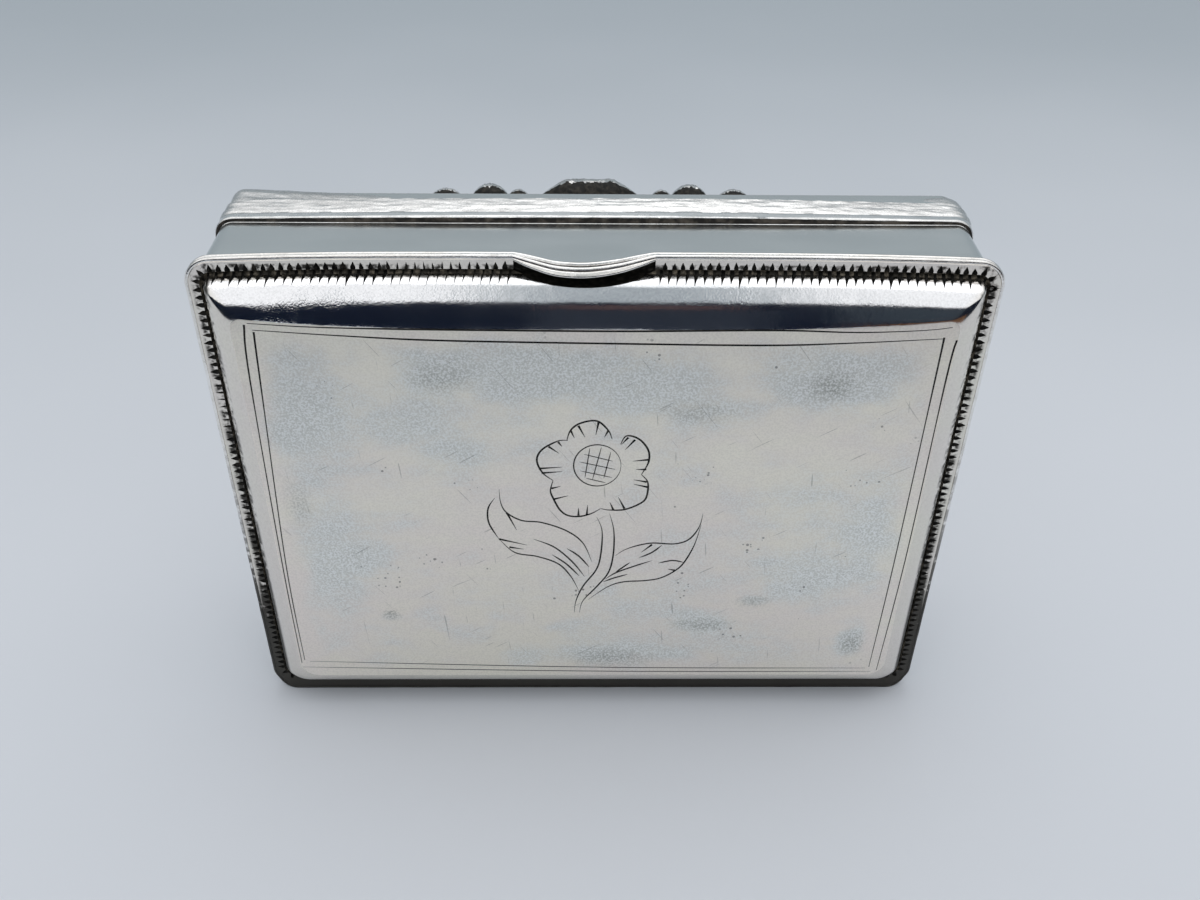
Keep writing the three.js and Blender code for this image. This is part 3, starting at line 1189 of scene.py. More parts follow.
class Tree:
    """Geometry Nodes trees for what repeats or follows a path."""

    @staticmethod
    def grown(lay: Callable[[Web, Signals], Signals], **inputs: str) -> NodeTree:
        """Builds a tree.

        Args:
            lay: Lays its nodes.
            inputs: Kind of each input besides the path and the material, by its name.

        Returns:
            The tree.
        """
        kinds = {"Path": "Geometry", **inputs, "Material": "Material"}
        sockets = {label: f"NodeSocket{kind}" for label, kind in kinds.items()}
        return group(lay.__name__, "GeometryNodeTree", sockets, "NodeSocketGeometry", lay)

    @staticmethod
    def dressed(web: Web, geometry: Signal, source: Signals) -> Signals:
        """Realizes a tree's instances and gives them its material."""
        real = web.signal("GeometryNodeRealizeInstances", {"Geometry": geometry})
        inputs = {"Geometry": real, "Material": source["Material"]}
        return {"Mesh": web.signal("GeometryNodeSetMaterial", inputs)}

    @classmethod
    def led(cls, web: Web, curve: Signal, section: Signal, source: Signals) -> Signals:
        """Leads a section along curves, as broad as the breadth at their points.

        Args:
            web: Web of the tree.
            curve: The curves.
            section: Section of unit size.
            source: The tree's inputs.

        Returns:
            The tree's output.
        """
        inputs = {"Name": "breadth"}
        breadth = web.signal("GeometryNodeInputNamedAttribute", inputs, "Attribute", data_type="FLOAT")
        inputs = {"Curve": curve, "Profile Curve": section, "Scale": breadth, "Fill Caps": True}
        return cls.dressed(web, web.signal("GeometryNodeCurveToMesh", inputs), source)

    @classmethod
    def graver(cls, web: Web, source: Signals) -> Signals:
        """A groove with a V section along each path. The paths lie in the XY plane, with the metal below.

        Args:
            web: Web of the tree.
            source: The inputs Path, Depth and Material.

        Returns:
            The tree's output.
        """
        curve = web.signal("GeometryNodeMeshToCurve", {"Mesh": source["Path"]})
        level = web.signal("GeometryNodeSetCurveNormal", {"Curve": curve}, mode="Z_UP")
        section = web.signal("GeometryNodeCurvePrimitiveCircle", {"Resolution": 3, "Radius": 1.0})
        size = web.signal("ShaderNodeCombineXYZ", {"X": source["Depth"], "Y": 1.0, "Z": 1.0})
        vee = web.signal("GeometryNodeTransform", {"Geometry": section, "Scale": size})
        turned = web.signal("GeometryNodeTransform", {"Geometry": vee, "Rotation": (0.0, 0.0, -math.pi / 2)})
        return cls.led(web, level, turned, source)

    @classmethod
    def punch(cls, web: Web, source: Signals) -> Signals:
        """A round mark along each path.

        Args:
            web: Web of the tree.
            source: The inputs Path, Sides and Material.

        Returns:
            The tree's output.
        """
        curve = web.signal("GeometryNodeMeshToCurve", {"Mesh": source["Path"]})
        inputs = {"Resolution": source["Sides"], "Radius": 1.0}
        section = web.signal("GeometryNodeCurvePrimitiveCircle", inputs)
        return cls.led(web, curve, section, source)

    @classmethod
    def barrel(cls, web: Web, source: Signals) -> Signals:
        """Tubes along X with rounded ends, one at each point of the path.

        Args:
            web: Web of the tree.
            source: The inputs Path, Radius, Bore, Length, Round, Sides and Material.

        Returns:
            The tree's output.
        """
        middle = (source["Radius"] + source["Bore"]) * 0.5
        inputs = {"Resolution": source["Sides"], "Radius": middle}
        rail = web.signal("GeometryNodeCurvePrimitiveCircle", inputs)
        inputs = {"Width": source["Radius"] - source["Bore"], "Height": source["Length"]}
        section = web.signal("GeometryNodeCurvePrimitiveQuadrilateral", inputs)
        inputs = {"Curve": section, "Count": 3, "Radius": source["Round"]}
        rounded = web.signal("GeometryNodeFilletCurve", inputs, mode="POLY")
        tube = web.signal("GeometryNodeCurveToMesh", {"Curve": rail, "Profile Curve": rounded, "Scale": 1.0})
        laid = web.signal("GeometryNodeTransform", {"Geometry": tube, "Rotation": (0.0, math.pi / 2, 0.0)})
        tubes = web.signal("GeometryNodeInstanceOnPoints", {"Points": source["Path"], "Instance": laid})
        return cls.dressed(web, web.signal("GeometryNodeSetShadeSmooth", {"Geometry": tubes}), source)

    @staticmethod
    def run(item: Object, tree: NodeTree, inputs: dict[str, SocketValue]) -> None:
        """Runs a tree on an object and keeps the result as a plain mesh, faced outwards.

        Args:
            item: Object whose mesh is the path.
            tree: Tree to run.
            inputs: Values by input name.
        """
        modifier = item.modifiers.new(tree.name, "NODES")
        modifier.node_group = tree
        for socket in tree.interface.items_tree:
            if socket.in_out == "INPUT" and socket.name in inputs:
                modifier[socket.identifier] = inputs[socket.name]
        plain_mesh(item)
        face_out(item.data)


def mark_dark(item: Object, materials: Sequence[Material]) -> None:
    """Gives a cutter the materials of what it cuts, and all its faces the second one.

    Args:
        item: The cutter.
        materials: Materials of the piece to cut.
    """
    item.data.materials.clear()
    for material in materials:
        item.data.materials.append(material)
    item.data.polygons.foreach_set("material_index", [1] * len(item.data.polygons))


# Distance in millimetres at which a speck is clear of everything
FAR_OFF = 500.0


def join_crossings(item: Object) -> None:
    """Makes one skin of a cutter whose parts cross each other, by cutting a speck far off from it."""
    far = Shape()
    far.row([(FAR_OFF, FAR_OFF, FAR_OFF), (FAR_OFF + 1, FAR_OFF, FAR_OFF), (FAR_OFF, FAR_OFF + 1, FAR_OFF),
             (FAR_OFF, FAR_OFF, FAR_OFF + 1)])
    far.faces = [(0, 1, 2), (0, 1, 3), (1, 2, 3), (2, 0, 3)]
    speck = far.piece("far_speck", ())
    modifier = item.modifiers.new("one_skin", "BOOLEAN")
    modifier.operation = "DIFFERENCE"
    modifier.solver = "EXACT"
    modifier.use_self = True
    modifier.object = speck
    plain_mesh(item)
    bpy.data.objects.remove(speck)


# Strokes of the engraving on the lid, by their places in X and Z
PETAL_RIMS = (
    ((-3.0, 40.8), (-2.6, 42.1), (-1.6, 43.0), (0.1, 43.3), (1.3, 42.1), (1.7, 41.0)),
    ((2.6, 40.3), (3.2, 41.4), (4.5, 41.0), (5.5, 39.6), (5.6, 38.0), (4.9, 36.3)),
    ((4.9, 36.3), (5.6, 35.3), (5.6, 33.6), (5.1, 32.5), (3.3, 31.5), (1.6, 31.4), (0.6, 31.6)),
    ((0.6, 31.6), (-0.4, 30.9), (-1.6, 30.5), (-2.9, 30.6), (-3.8, 31.4), (-4.5, 33.0), (-4.8, 34.1),
     (-4.5, 35.5)),
    ((-4.5, 35.5), (-5.5, 36.4), (-6.1, 37.7), (-6.1, 38.7), (-5.6, 39.6), (-4.7, 40.3), (-3.7, 40.8),
     (-2.9, 40.8)),
)
PETAL_FLICKS = (
    ((-2.6, 42.1), (-2.2, 41.1)), ((-1.8, 42.7), (-1.1, 41.2)), ((0.3, 43.2), (0.0, 41.5)),
    ((1.3, 42.1), (0.9, 41.2)), ((3.4, 41.2), (2.7, 40.3)), ((4.1, 40.9), (3.1, 39.6)),
    ((5.6, 38.3), (3.9, 38.1)), ((5.4, 37.0), (4.3, 37.0)), ((5.5, 35.3), (4.1, 35.6)),
    ((5.6, 34.6), (4.1, 35.0)), ((3.2, 31.6), (2.5, 33.2)), ((2.0, 31.4), (1.6, 32.5)),
    ((-1.8, 30.6), (-1.8, 31.7)), ((-0.9, 30.7), (-0.8, 32.1)), ((-4.5, 32.9), (-2.9, 33.4)),
    ((-4.7, 34.4), (-3.7, 34.7)), ((-6.0, 37.1), (-3.5, 37.3)), ((-5.7, 36.5), (-3.5, 36.7)),
    ((-4.9, 40.0), (-3.8, 39.1)), ((-3.9, 40.6), (-3.5, 40.0)),
)
DISC_HATCHING = (
    ((-0.6, 39.8), (-1.1, 35.9)), ((0.6, 39.9), (-0.3, 35.6)), ((1.6, 39.3), (0.9, 35.8)),
    ((-1.2, 39.0), (1.8, 38.1)), ((-1.7, 38.0), (2.1, 37.0)), ((-1.6, 36.8), (1.8, 35.9)),
    ((-1.0, 35.8), (1.1, 35.2)),
)
LEAF_EDGES = (
    ((0.2, 30.4), (0.8, 28.4), (0.7, 25.0), (0.2, 22.6), (-1.3, 20.0), (-2.1, 17.7), (-2.3, 15.8)),
    ((1.6, 30.9), (2.1, 28.4), (2.1, 25.0), (1.6, 22.2), (0.3, 20.0), (-1.3, 17.7), (-1.7, 15.8)),
    ((-10.3, 34.3), (-10.2, 32.4), (-9.6, 31.0), (-8.0, 29.9), (-5.8, 29.6), (-3.1, 28.4), (-1.3, 26.6),
     (-0.3, 23.8)),
    ((-10.8, 33.1), (-11.6, 31.6), (-11.6, 29.5), (-10.6, 27.2)),
    ((-10.6, 27.2), (-8.9, 25.2), (-6.4, 24.6), (-4.1, 23.5), (-2.7, 21.6), (-1.8, 19.4)),
    ((2.3, 24.7), (3.7, 25.8), (6.2, 26.6), (8.9, 26.5), (10.5, 27.2), (11.5, 29.0), (11.8, 30.9)),
    ((11.7, 29.3), (11.1, 26.3), (10.1, 23.7), (9.1, 22.4), (7.5, 21.3), (5.7, 20.9), (3.3, 20.7),
     (1.5, 19.9), (-0.7, 17.9)),
)
LEAF_VEINS = (
    ((-6.8, 27.2), (-4.5, 26.0), (-2.5, 23.8), (-1.1, 21.5)), ((-4.8, 24.9), (-3.2, 23.5), (-1.7, 21.6)),
    ((-3.1, 25.8), (-1.8, 24.7), (-0.6, 23.0)), ((10.1, 23.7), (8.8, 24.0), (7.2, 23.6)),
    ((7.5, 26.3), (6.4, 25.2), (5.0, 24.4)), ((6.5, 24.0), (4.2, 23.0), (2.4, 22.1), (1.2, 21.1)),
    ((4.0, 23.7), (2.4, 22.2)), ((3.8, 21.9), (2.2, 21.3), (1.0, 20.7)),
)
LEAF_FLICKS = (
    ((-9.6, 31.0), (-8.6, 28.5)), ((-10.6, 27.2), (-7.5, 26.3)), ((-9.5, 26.0), (-7.9, 25.7)),
    ((9.1, 22.5), (8.3, 22.7)), ((6.4, 26.4), (5.2, 25.2)),
)
FRAME_LINES = (
    ((-33.7, 54.75), (-24.0, 54.25), (0.3, 54.0), (17.3, 54.15), (25.4, 53.95), (31.9, 54.2), (34.6, 54.55)),
    ((-34.0, 54.6), (-34.5, 48.2), (-35.1, 23.3), (-35.2, 7.3)),
    ((35.3, 53.1), (35.1, 48.4), (35.1, 24.1), (34.6, 5.9)),
    ((-35.2, 6.6), (0.8, 5.8), (33.9, 5.7)),
    ((-33.3, 54.0), (-24.9, 53.4), (-15.4, 52.9), (1.3, 52.6), (16.6, 52.45), (25.4, 52.75), (33.9, 53.25)),
    ((-33.2, 53.8), (-33.5, 48.2), (-34.7, 23.3), (-34.8, 7.8)),
    ((34.0, 53.4), (34.0, 48.4), (33.9, 23.3), (33.6, 6.5)),
    ((-34.2, 7.6), (0.8, 6.5), (33.2, 6.3)),
)


@dataclass(frozen=True)
class Engraving:
    """The engraved flower and the double line that frames it, in X and Z on the lid's flat."""

    depth_share: float = 0.75
    spacing: float = 0.22
    long_spacing: float = 0.8
    long_stroke: float = 20.0
    lead: float = 4.0
    petal_breadth: float = 0.185
    flick_breadth: float = 0.24
    disc_middle: Place = (0.2, 37.5)
    disc_x: float = 2.5
    disc_z: float = 2.75
    disc_steps: int = 28
    disc_breadth: float = 0.125
    hatch_breadth: float = 0.095
    leaf_breadth: float = 0.16
    vein_breadth: float = 0.165
    frame_breadth: float = 0.18
    faint_breadth: float = 0.105
    side_breadth: float = 0.19

    def flower(self) -> dict[str, list[Stroke]]:
        """Gives the strokes of the flower.

        Returns:
            The strokes by group: petals, disc and leaves.
        """
        turns = [2 * math.pi * step / self.disc_steps for step in range(self.disc_steps + 1)]
        x, z = self.disc_middle
        circle = tuple((x + self.disc_x * math.cos(turn), z + self.disc_z * math.sin(turn)) for turn in turns)
        kinds = (
            ("petals", PETAL_RIMS, Hand.EVEN, self.petal_breadth),
            ("petals", PETAL_FLICKS, Hand.FLICK, self.flick_breadth),
            ("disc", (circle,), Hand.EVEN, self.disc_breadth),
            ("disc", DISC_HATCHING, Hand.EVEN, self.hatch_breadth),
            ("leaves", LEAF_EDGES, Hand.SWELL, self.leaf_breadth),
            ("leaves", LEAF_VEINS, Hand.SWELL, self.vein_breadth),
            ("leaves", LEAF_FLICKS, Hand.FLICK, self.flick_breadth),
        )
        groups: dict[str, list[Stroke]] = {}
        for name, lines, hand, breadth in kinds:
            groups.setdefault(name, []).extend(Stroke(points, hand, breadth) for points in lines)
        return groups

    def frame_lines(self) -> list[Stroke]:
        """Gives the double line round the flat, as unevenly as it was cut.

        Returns:
            The strokes.
        """
        strokes = []
        for points in FRAME_LINES:
            heights = [z for _, z in points]
            if max(heights) - min(heights) > OUTLINE.height / 2:
                strokes.append(Stroke(points, Hand.FADE, self.side_breadth))
            else:
                is_top = min(heights) > OUTLINE.height / 2
                breadth = self.frame_breadth if is_top else self.faint_breadth
                strokes.append(Stroke(points, Hand.EVEN, breadth))
        return strokes

    def cutter(self, name: str, strokes: Sequence[Stroke], tree: NodeTree, place: Matrix,
               material: Material) -> Object:
        """Makes the grooves of some strokes.

        Args:
            name: Name of the cutter.
            strokes: Strokes to cut.
            tree: The graver's tree.
            place: Turns the drawing's plane onto the metal's face.
            material: Material of the grooves.

        Returns:
            The cutter.
        """
        points: list[Vector] = []
        edges: list[tuple[int, int]] = []
        breadths: list[float] = []
        for stroke in strokes:
            is_long = math.dist(stroke.points[0], stroke.points[-1]) > self.long_stroke
            curve = eased(stroke.points, self.long_spacing if is_long else self.spacing)
            first = len(points)
            start, middle, end = stroke.hand.value
            for number, (x, z) in enumerate(curve):
                share = number / (len(curve) - 1)
                rise = min(share * self.lead, 1.0)
                fall = min((1 - share) * self.lead, 1.0)
                if stroke.hand is Hand.FLICK:
                    size = start + (end - start) * share
                else:
                    size = (start + (middle - start) * rise) * (end + (middle - end) * fall) / middle
                points.append(Vector((x, z, 0.0)) * MM)
                breadths.append(size * stroke.breadth * MM)
            edges.extend((i, i + 1) for i in range(first, len(points) - 1))
        item = path_object(name, points, edges, breadths)
        Tree.run(item, tree, {"Depth": self.depth_share, "Material": material})
        item.data.transform(place)
        join_crossings(item)
        return item


ENGRAVING = Engraving()


def swept(profile: Sequence[RimPoint]) -> list[list[Vector]]:
    """Carries a profile round the outline, with one ring for each of its points."""
    return [[Vector((x, point.depth, z)) for x, z in OUTLINE.ring(point)] for point in profile]


def at_place(ring: Sequence[Vector], place: float) -> Vector:
    """Gives a point of a closed ring by the number of a point with the share of the way to the next."""
    number = math.floor(place)
    return ring[number % len(ring)].lerp(ring[(number + 1) % len(ring)], place - number)


def even_places(ring: Sequence[Vector], spacing: float) -> list[float]:
    """Gives places at even distances round a closed ring.

    Args:
        ring: Points of the ring.
        spacing: Millimetres between places.

    Returns:
        Places as numbers of points with shares of the way to the next one.
    """
    places = []
    travel = 0.0
    for number, point in enumerate(ring):
        length = (ring[(number + 1) % len(ring)] - point).length
        while travel < length:
            places.append(number + travel / length)
            travel += spacing
        travel -= length
    return places


class LightSpot(NamedTuple):
    """Place on the border where the punch was struck lightly."""

    x: float
    z: float
    radius: float


class Chance(Enum):
    """What a mark of the punch varies in, with a phase for each."""

    REACH = 2.0
    LEAN = 6.0
    BREADTH = 9.0


@dataclass(frozen=True)
class Chasing:
    """Row of tapering marks struck across rings of a surface, each from the first ring towards the last."""

    name: str
    spacing: float
    breadth: float
    least_reach: float
    slant: float
    seed: float
    taper: tuple[float, ...] = (0.85, 1.0, 0.78, 0.42, 0.1)
    stray: float = 0.1
    uneven: float = 0.2
    sides: int = 5
    light_spots: tuple[LightSpot, ...] = (LightSpot(-15.0, 58.5, 6.5), LightSpot(-38.5, 43.0, 4.0))
    light_breadth: float = 0.45
    drift: float = 0.3
    drift_wave: float = 0.13
    chance_gain: float = 1.6
    chance_wave: float = 0.773

    def force(self, point: Vector) -> float:
        """Gives the share of the full breadth at a place, less near the light spots.

        Args:
            point: The place.

        Returns:
            The share.
        """
        wave = Vector((point.x * self.drift_wave, self.seed, point.z * self.drift_wave))
        share = 1.0 + self.drift * noise.noise(wave)
        for spot in self.light_spots:
            distance = math.dist((point.x, point.z), (spot.x, spot.z)) / spot.radius
            if distance < 1.0:
                share *= self.light_breadth + (1 - self.light_breadth) * distance ** 2
        return share

    def chance(self, number: int, kind: Chance) -> float:
        """Gives a fixed chance from about -1 to 1 for one mark."""
        return self.chance_gain * noise.noise(Vector((number * self.chance_wave, kind.value, self.seed)))

    def cutter(self, rings: Sequence[Sequence[Vector]], tree: NodeTree,
               material: Material) -> Object:
        """Makes the marks.

        Args:
            rings: Rings of the surface, with the same count of points.
            tree: The punch's tree.
            material: Material of the marks.

        Returns:
            The cutter.
        """
        points: list[Vector] = []
        edges: list[tuple[int, int]] = []
        breadths: list[float] = []
        last = len(self.taper) - 1
        for number, place in enumerate(even_places(rings[0], self.spacing)):
            start = at_place(rings[0], place)
            if OUTLINE.by_lip(start.x, start.z):
                continue
            reach = 1 - (1 - self.least_reach) * (0.5 + 0.5 * self.chance(number, Chance.REACH))
            lean = self.slant + self.stray * self.chance(number, Chance.LEAN)
            breadth = 1 + self.uneven * self.chance(number, Chance.BREADTH)
            breadth *= self.breadth * self.force(start)
            first = len(points)
            for step, size in enumerate(self.taper):
                across = min(max(reach, self.least_reach), 1.0) * step / last * (len(rings) - 1)
                level = min(int(across), len(rings) - 2)
                shifted = place + lean * step / last
                lower, upper = (at_place(ring, shifted) for ring in rings[level:level + 2])
                points.append(lower.lerp(upper, across - level) * MM)
                breadths.append(breadth * size * MM)
            edges.extend((i, i + 1) for i in range(first, len(points) - 1))
        item = path_object(self.name, points, edges, breadths)
        Tree.run(item, tree, {"Sides": self.sides, "Material": material})
        return item


@dataclass
class LidPlate:
    """Cushioned lid plate with its chased border, engraved flower and the cut that frees the thumb lip, whose
    dark faces are painted shadow under the lip.
    """

    foot: float = 1.95
    shoulder_x: float = 2.65
    shoulder_z: float = 3.2
    shoulder_steps: int = 26
    crease: float = 77.0
    crease_width: float = 0.08
    flat_strip: float = 0.4
    flat_corner: float = 1.3
    flat_lift: float = 1.22
    flat_bow: float = -1.95
    heel: float = 0.45
    heel_corner: float = 2.2
    groove_near: float = 1.45
    groove_depth: float = 0.3
    edge: float = 0.34
    edge_round: float = 0.1
    sheet: float = 0.7
    bow: float = 0.58
    sharp: float = 18.0
    tooth_lap: float = 0.05
    tooth_length: float = 0.92
    climb_steps: int = 11
    slot_middle: float = 2.1
    slot_end: float = 1.15
    slot_depth: float = 0.72
    slot_slope: float = 1.2
    slot_back: float = 0.7
    slot_step: float = 0.2
    slot_foot: float = 0.05
    slot_steps: int = 20
    over: float = 2.0
    ahead: float = 0.5
    behind: float = 1.0
    outer_row: Chasing = Chasing("chased_out", 0.86, 0.32, 0.72, 0.0, 5.0)
    inner_row: Chasing = Chasing("chased_in", 0.86, 0.24, 0.64, 0.22, 11.0)

    def shoulder(self) -> list[RimPoint]:
        """Gives the cushion's shoulder from its foot to the crease at its flat.

        Returns:
            Profile points.
        """
        crown = BORDER_FACE - CROWN_FACE
        last = math.radians(self.crease)
        profile = []
        for step in range(self.shoulder_steps + 1):
            angle = last * step / self.shoulder_steps
            along = (1 - math.cos(angle)) / (1 - math.cos(last))
            depth = BORDER_FACE - crown * math.sin(angle) / math.sin(last)
            bow = self.bow + (self.flat_bow - self.bow) * along
            inset_x, inset_z = self.foot + self.shoulder_x * along, self.foot + self.shoulder_z * along
            profile.append(RimPoint(inset_x, inset_z, depth, self.flat_lift * along, bow,
                                    self.flat_corner * along, self.heel * (1 - along), self.heel_corner))
        return profile

    def flat_ring(self, inset: float) -> RimPoint:
        """Gives a ring of the flat at a distance in from its crease."""
        return RimPoint(self.foot + self.shoulder_x + inset, self.foot + self.shoulder_z + inset, CROWN_FACE,
                        self.flat_lift, self.flat_bow, self.flat_corner, 0.0, self.heel_corner)

    def border_ring(self, inset: float, depth: float, heel: float = 0.0) -> RimPoint:
        """Gives a ring of the border, which bows with the lid's edge."""
        return RimPoint(inset, inset, depth, 0.0, self.bow, 0.0, heel)

    def groove_ring(self) -> RimPoint:
        """Gives the bottom of the border's groove."""
        middle = (self.groove_near + self.foot) / 2
        return self.border_ring(middle, BORDER_FACE + self.groove_depth, self.heel)

    def body(self, materials: Sequence[Material]) -> Object:
        """Makes the plate before it is cut.

        Args:
            materials: Silver, the cuts' oxide and the groove's dirt.

        Returns:
            The plate.
        """
        profile = [self.flat_ring(inset) for inset in (self.flat_strip, self.crease_width)]
        profile.extend(reversed(self.shoulder()))
        groove = len(profile) - 1
        hollow = self.foot + self.sheet
        crown = hollow + self.shoulder_z
        profile.extend((
            self.groove_ring(),
            self.border_ring(self.groove_near, BORDER_FACE, self.heel),
            self.border_ring(self.edge + self.edge_round, BORDER_FACE),
            self.border_ring(self.edge, BORDER_FACE + self.edge_round),
            self.border_ring(self.edge, LID_BACK),
            RimPoint(hollow, hollow, LID_BACK),
            RimPoint(hollow, hollow, BORDER_FACE),
            RimPoint(crown, crown, CROWN_FACE + self.sheet),
        ))
        rings = swept(profile)
        for ring in rings:
            for point in ring:
                point.y -= FLARE.forward(point.y, point.z)
        return loft(rings, tints={groove: 2, groove + 1: 2}).piece("lid_plate_worn", materials)

    def chasing(self, oxide: Material) -> list[Object]:
        """Makes the rows of marks on either side of the border's groove.

        Args:
            oxide: Material of the cuts.

        Returns:
            The cutters.
        """
        tree = Tree.grown(Tree.punch, Sides="Int")
        start = self.groove_near + self.tooth_lap
        flange = [self.border_ring(start - self.tooth_length * share, BORDER_FACE, self.heel)
                  for share in (0.0, 0.5, 1.0)]
        climb = [self.groove_ring(), *self.shoulder()[:self.climb_steps]]
        rows = ((self.outer_row, flange), (self.inner_row, climb))
        return [row.cutter(swept(profile), tree, oxide) for row, profile in rows]

    def lip_slot(self) -> Object:
        """Makes the cutter of the slot that the thumb lip was bent out of, open to the wall above. Its faces
        take the dark cut oxide, and its curved lower edge cuts a crescent into the shoulder: painted shadow
        under the lip.

        Returns:
            The cutter.
        """
        step, top = OUTLINE.height - self.slot_back, OUTLINE.height + self.over
        front, deep, back = CROWN_FACE - self.ahead, BORDER_FACE + self.slot_depth, LID_BACK + self.behind
        rings = []
        for number in range(self.slot_steps + 1):
            share = number / self.slot_steps
            x = OUTLINE.lip_left + (OUTLINE.lip_right - OUTLINE.lip_left) * share
            # The lower edge dips most in the middle, in the crescent of the lip's shadow
            full = 1 - (2 * share - 1) ** 2
            low = OUTLINE.height - self.slot_end - (self.slot_middle - self.slot_end) * full
            section = ((front, low), (front, top), (back, top), (back, step), (deep, step),
                       (deep, low + self.slot_step), (deep - self.slot_slope * full - self.slot_foot, low))
            rings.append([(x, y, z) for y, z in section])
        return loft(rings).piece("lip_slot", ())

    def build(self) -> None:
        """Makes, cuts and dresses the plate."""
        oxide = CUT_OXIDE_AND_SHADE.material()
        plate = self.body((LID_SILVER.material(), oxide, GROOVE_DIRT.material()))
        upright = Matrix.Translation((0.0, CROWN_FACE * MM, 0.0)) @ Matrix.Rotation(math.pi / 2, 4, "X")
        tree = Tree.grown(Tree.graver, Depth="Float")
        groups = {**ENGRAVING.flower(), "frame_lines": ENGRAVING.frame_lines()}
        # The slot's faces take the cut oxide as well, as painted shadow under the lip
        cutters = [*self.chasing(oxide), self.lip_slot()]
        for name, strokes in groups.items():
            cutters.append(ENGRAVING.cutter(name, strokes, tree, upright, oxide))
        carve(plate, cutters, self.sharp)
        report(plate, Body.LID, ("lid_plate",))


@dataclass(frozen=True)
class Beads:
    """Section of the two beads that run round the lid's edge and along the lip."""

    height: float = 0.27
    reach: float = 0.23
    steps: int = 8

    def arc(self, number: int) -> list[Place]:
        """Gives one bead from front to back.

        Args:
            number: 0 for the front bead and 1 for the back one.

        Returns:
            Drop from the crest and depth at each point.
        """
        middle = BORDER_FACE + (LID_BACK - BORDER_FACE) * (number + 0.5) / 2
        angles = [(step / self.steps - 0.5) * math.pi for step in range(self.steps + 1)]
        return [(self.height * (1 - math.cos(a)), middle + self.reach * math.sin(a)) for a in angles]


BEADS = Beads()


@dataclass
class EdgeWire:
    """Two beads round the lid's edge, open at the thumb lip, with dirt in the line between them."""

    inner: float = 0.36
    inner_gap: float = 0.05
    bow: float = 0.58
    shake: float = 0.035
    shake_wave: float = 0.35
    phases: tuple[float, float] = (0.0, 9.0)
    sharp: float = 60.0

    def build(self) -> None:
        """Makes and dresses the wire."""
        profile = [(self.inner, BORDER_FACE + self.inner_gap), *BEADS.arc(0), *BEADS.arc(1),
                   (self.inner, LID_BACK - self.inner_gap)]
        rings = []
        for inset, depth in profile:
            ring = []
            for x, z in OUTLINE.past_lip(OUTLINE.ring(RimPoint(inset, inset, depth, 0.0, self.bow))):
                aside, back = (self.wobble(x, z, phase) for phase in self.phases)
                ring.append((x + aside, depth + back - FLARE.forward(depth, z), z))
            rings.append(ring)
        rows = [list(points) for points in zip(*rings)]
        shape = loft(rows)
        count = len(profile)
        dirty = range(BEADS.steps, BEADS.steps + 3)
        shape.tints = {face: 1 for face in range(count * (len(rows) - 1)) if face % count in dirty}
        wire = shape.piece("lid_edge_beads", (EDGE_SILVER.material(), RECESS_OXIDE_AND_SHADE.material()), self.sharp)
        report(wire, Body.LID, ("lid_edge_wire",))

    def wobble(self, x: float, z: float, phase: float) -> float:
        """Gives the small unevenness of a hand-drawn wire at a place."""
        fade = min(abs(x - OUTLINE.lip_left), abs(x - OUTLINE.lip_right), 1.0)
        return self.shake * fade * noise.noise(Vector((x * self.shake_wave, z * self.shake_wave, phase)))


class Bend(NamedTuple):
    """How far a line of the lip comes forwards and drops where it is fully bent."""

    forward: float
    drop: float


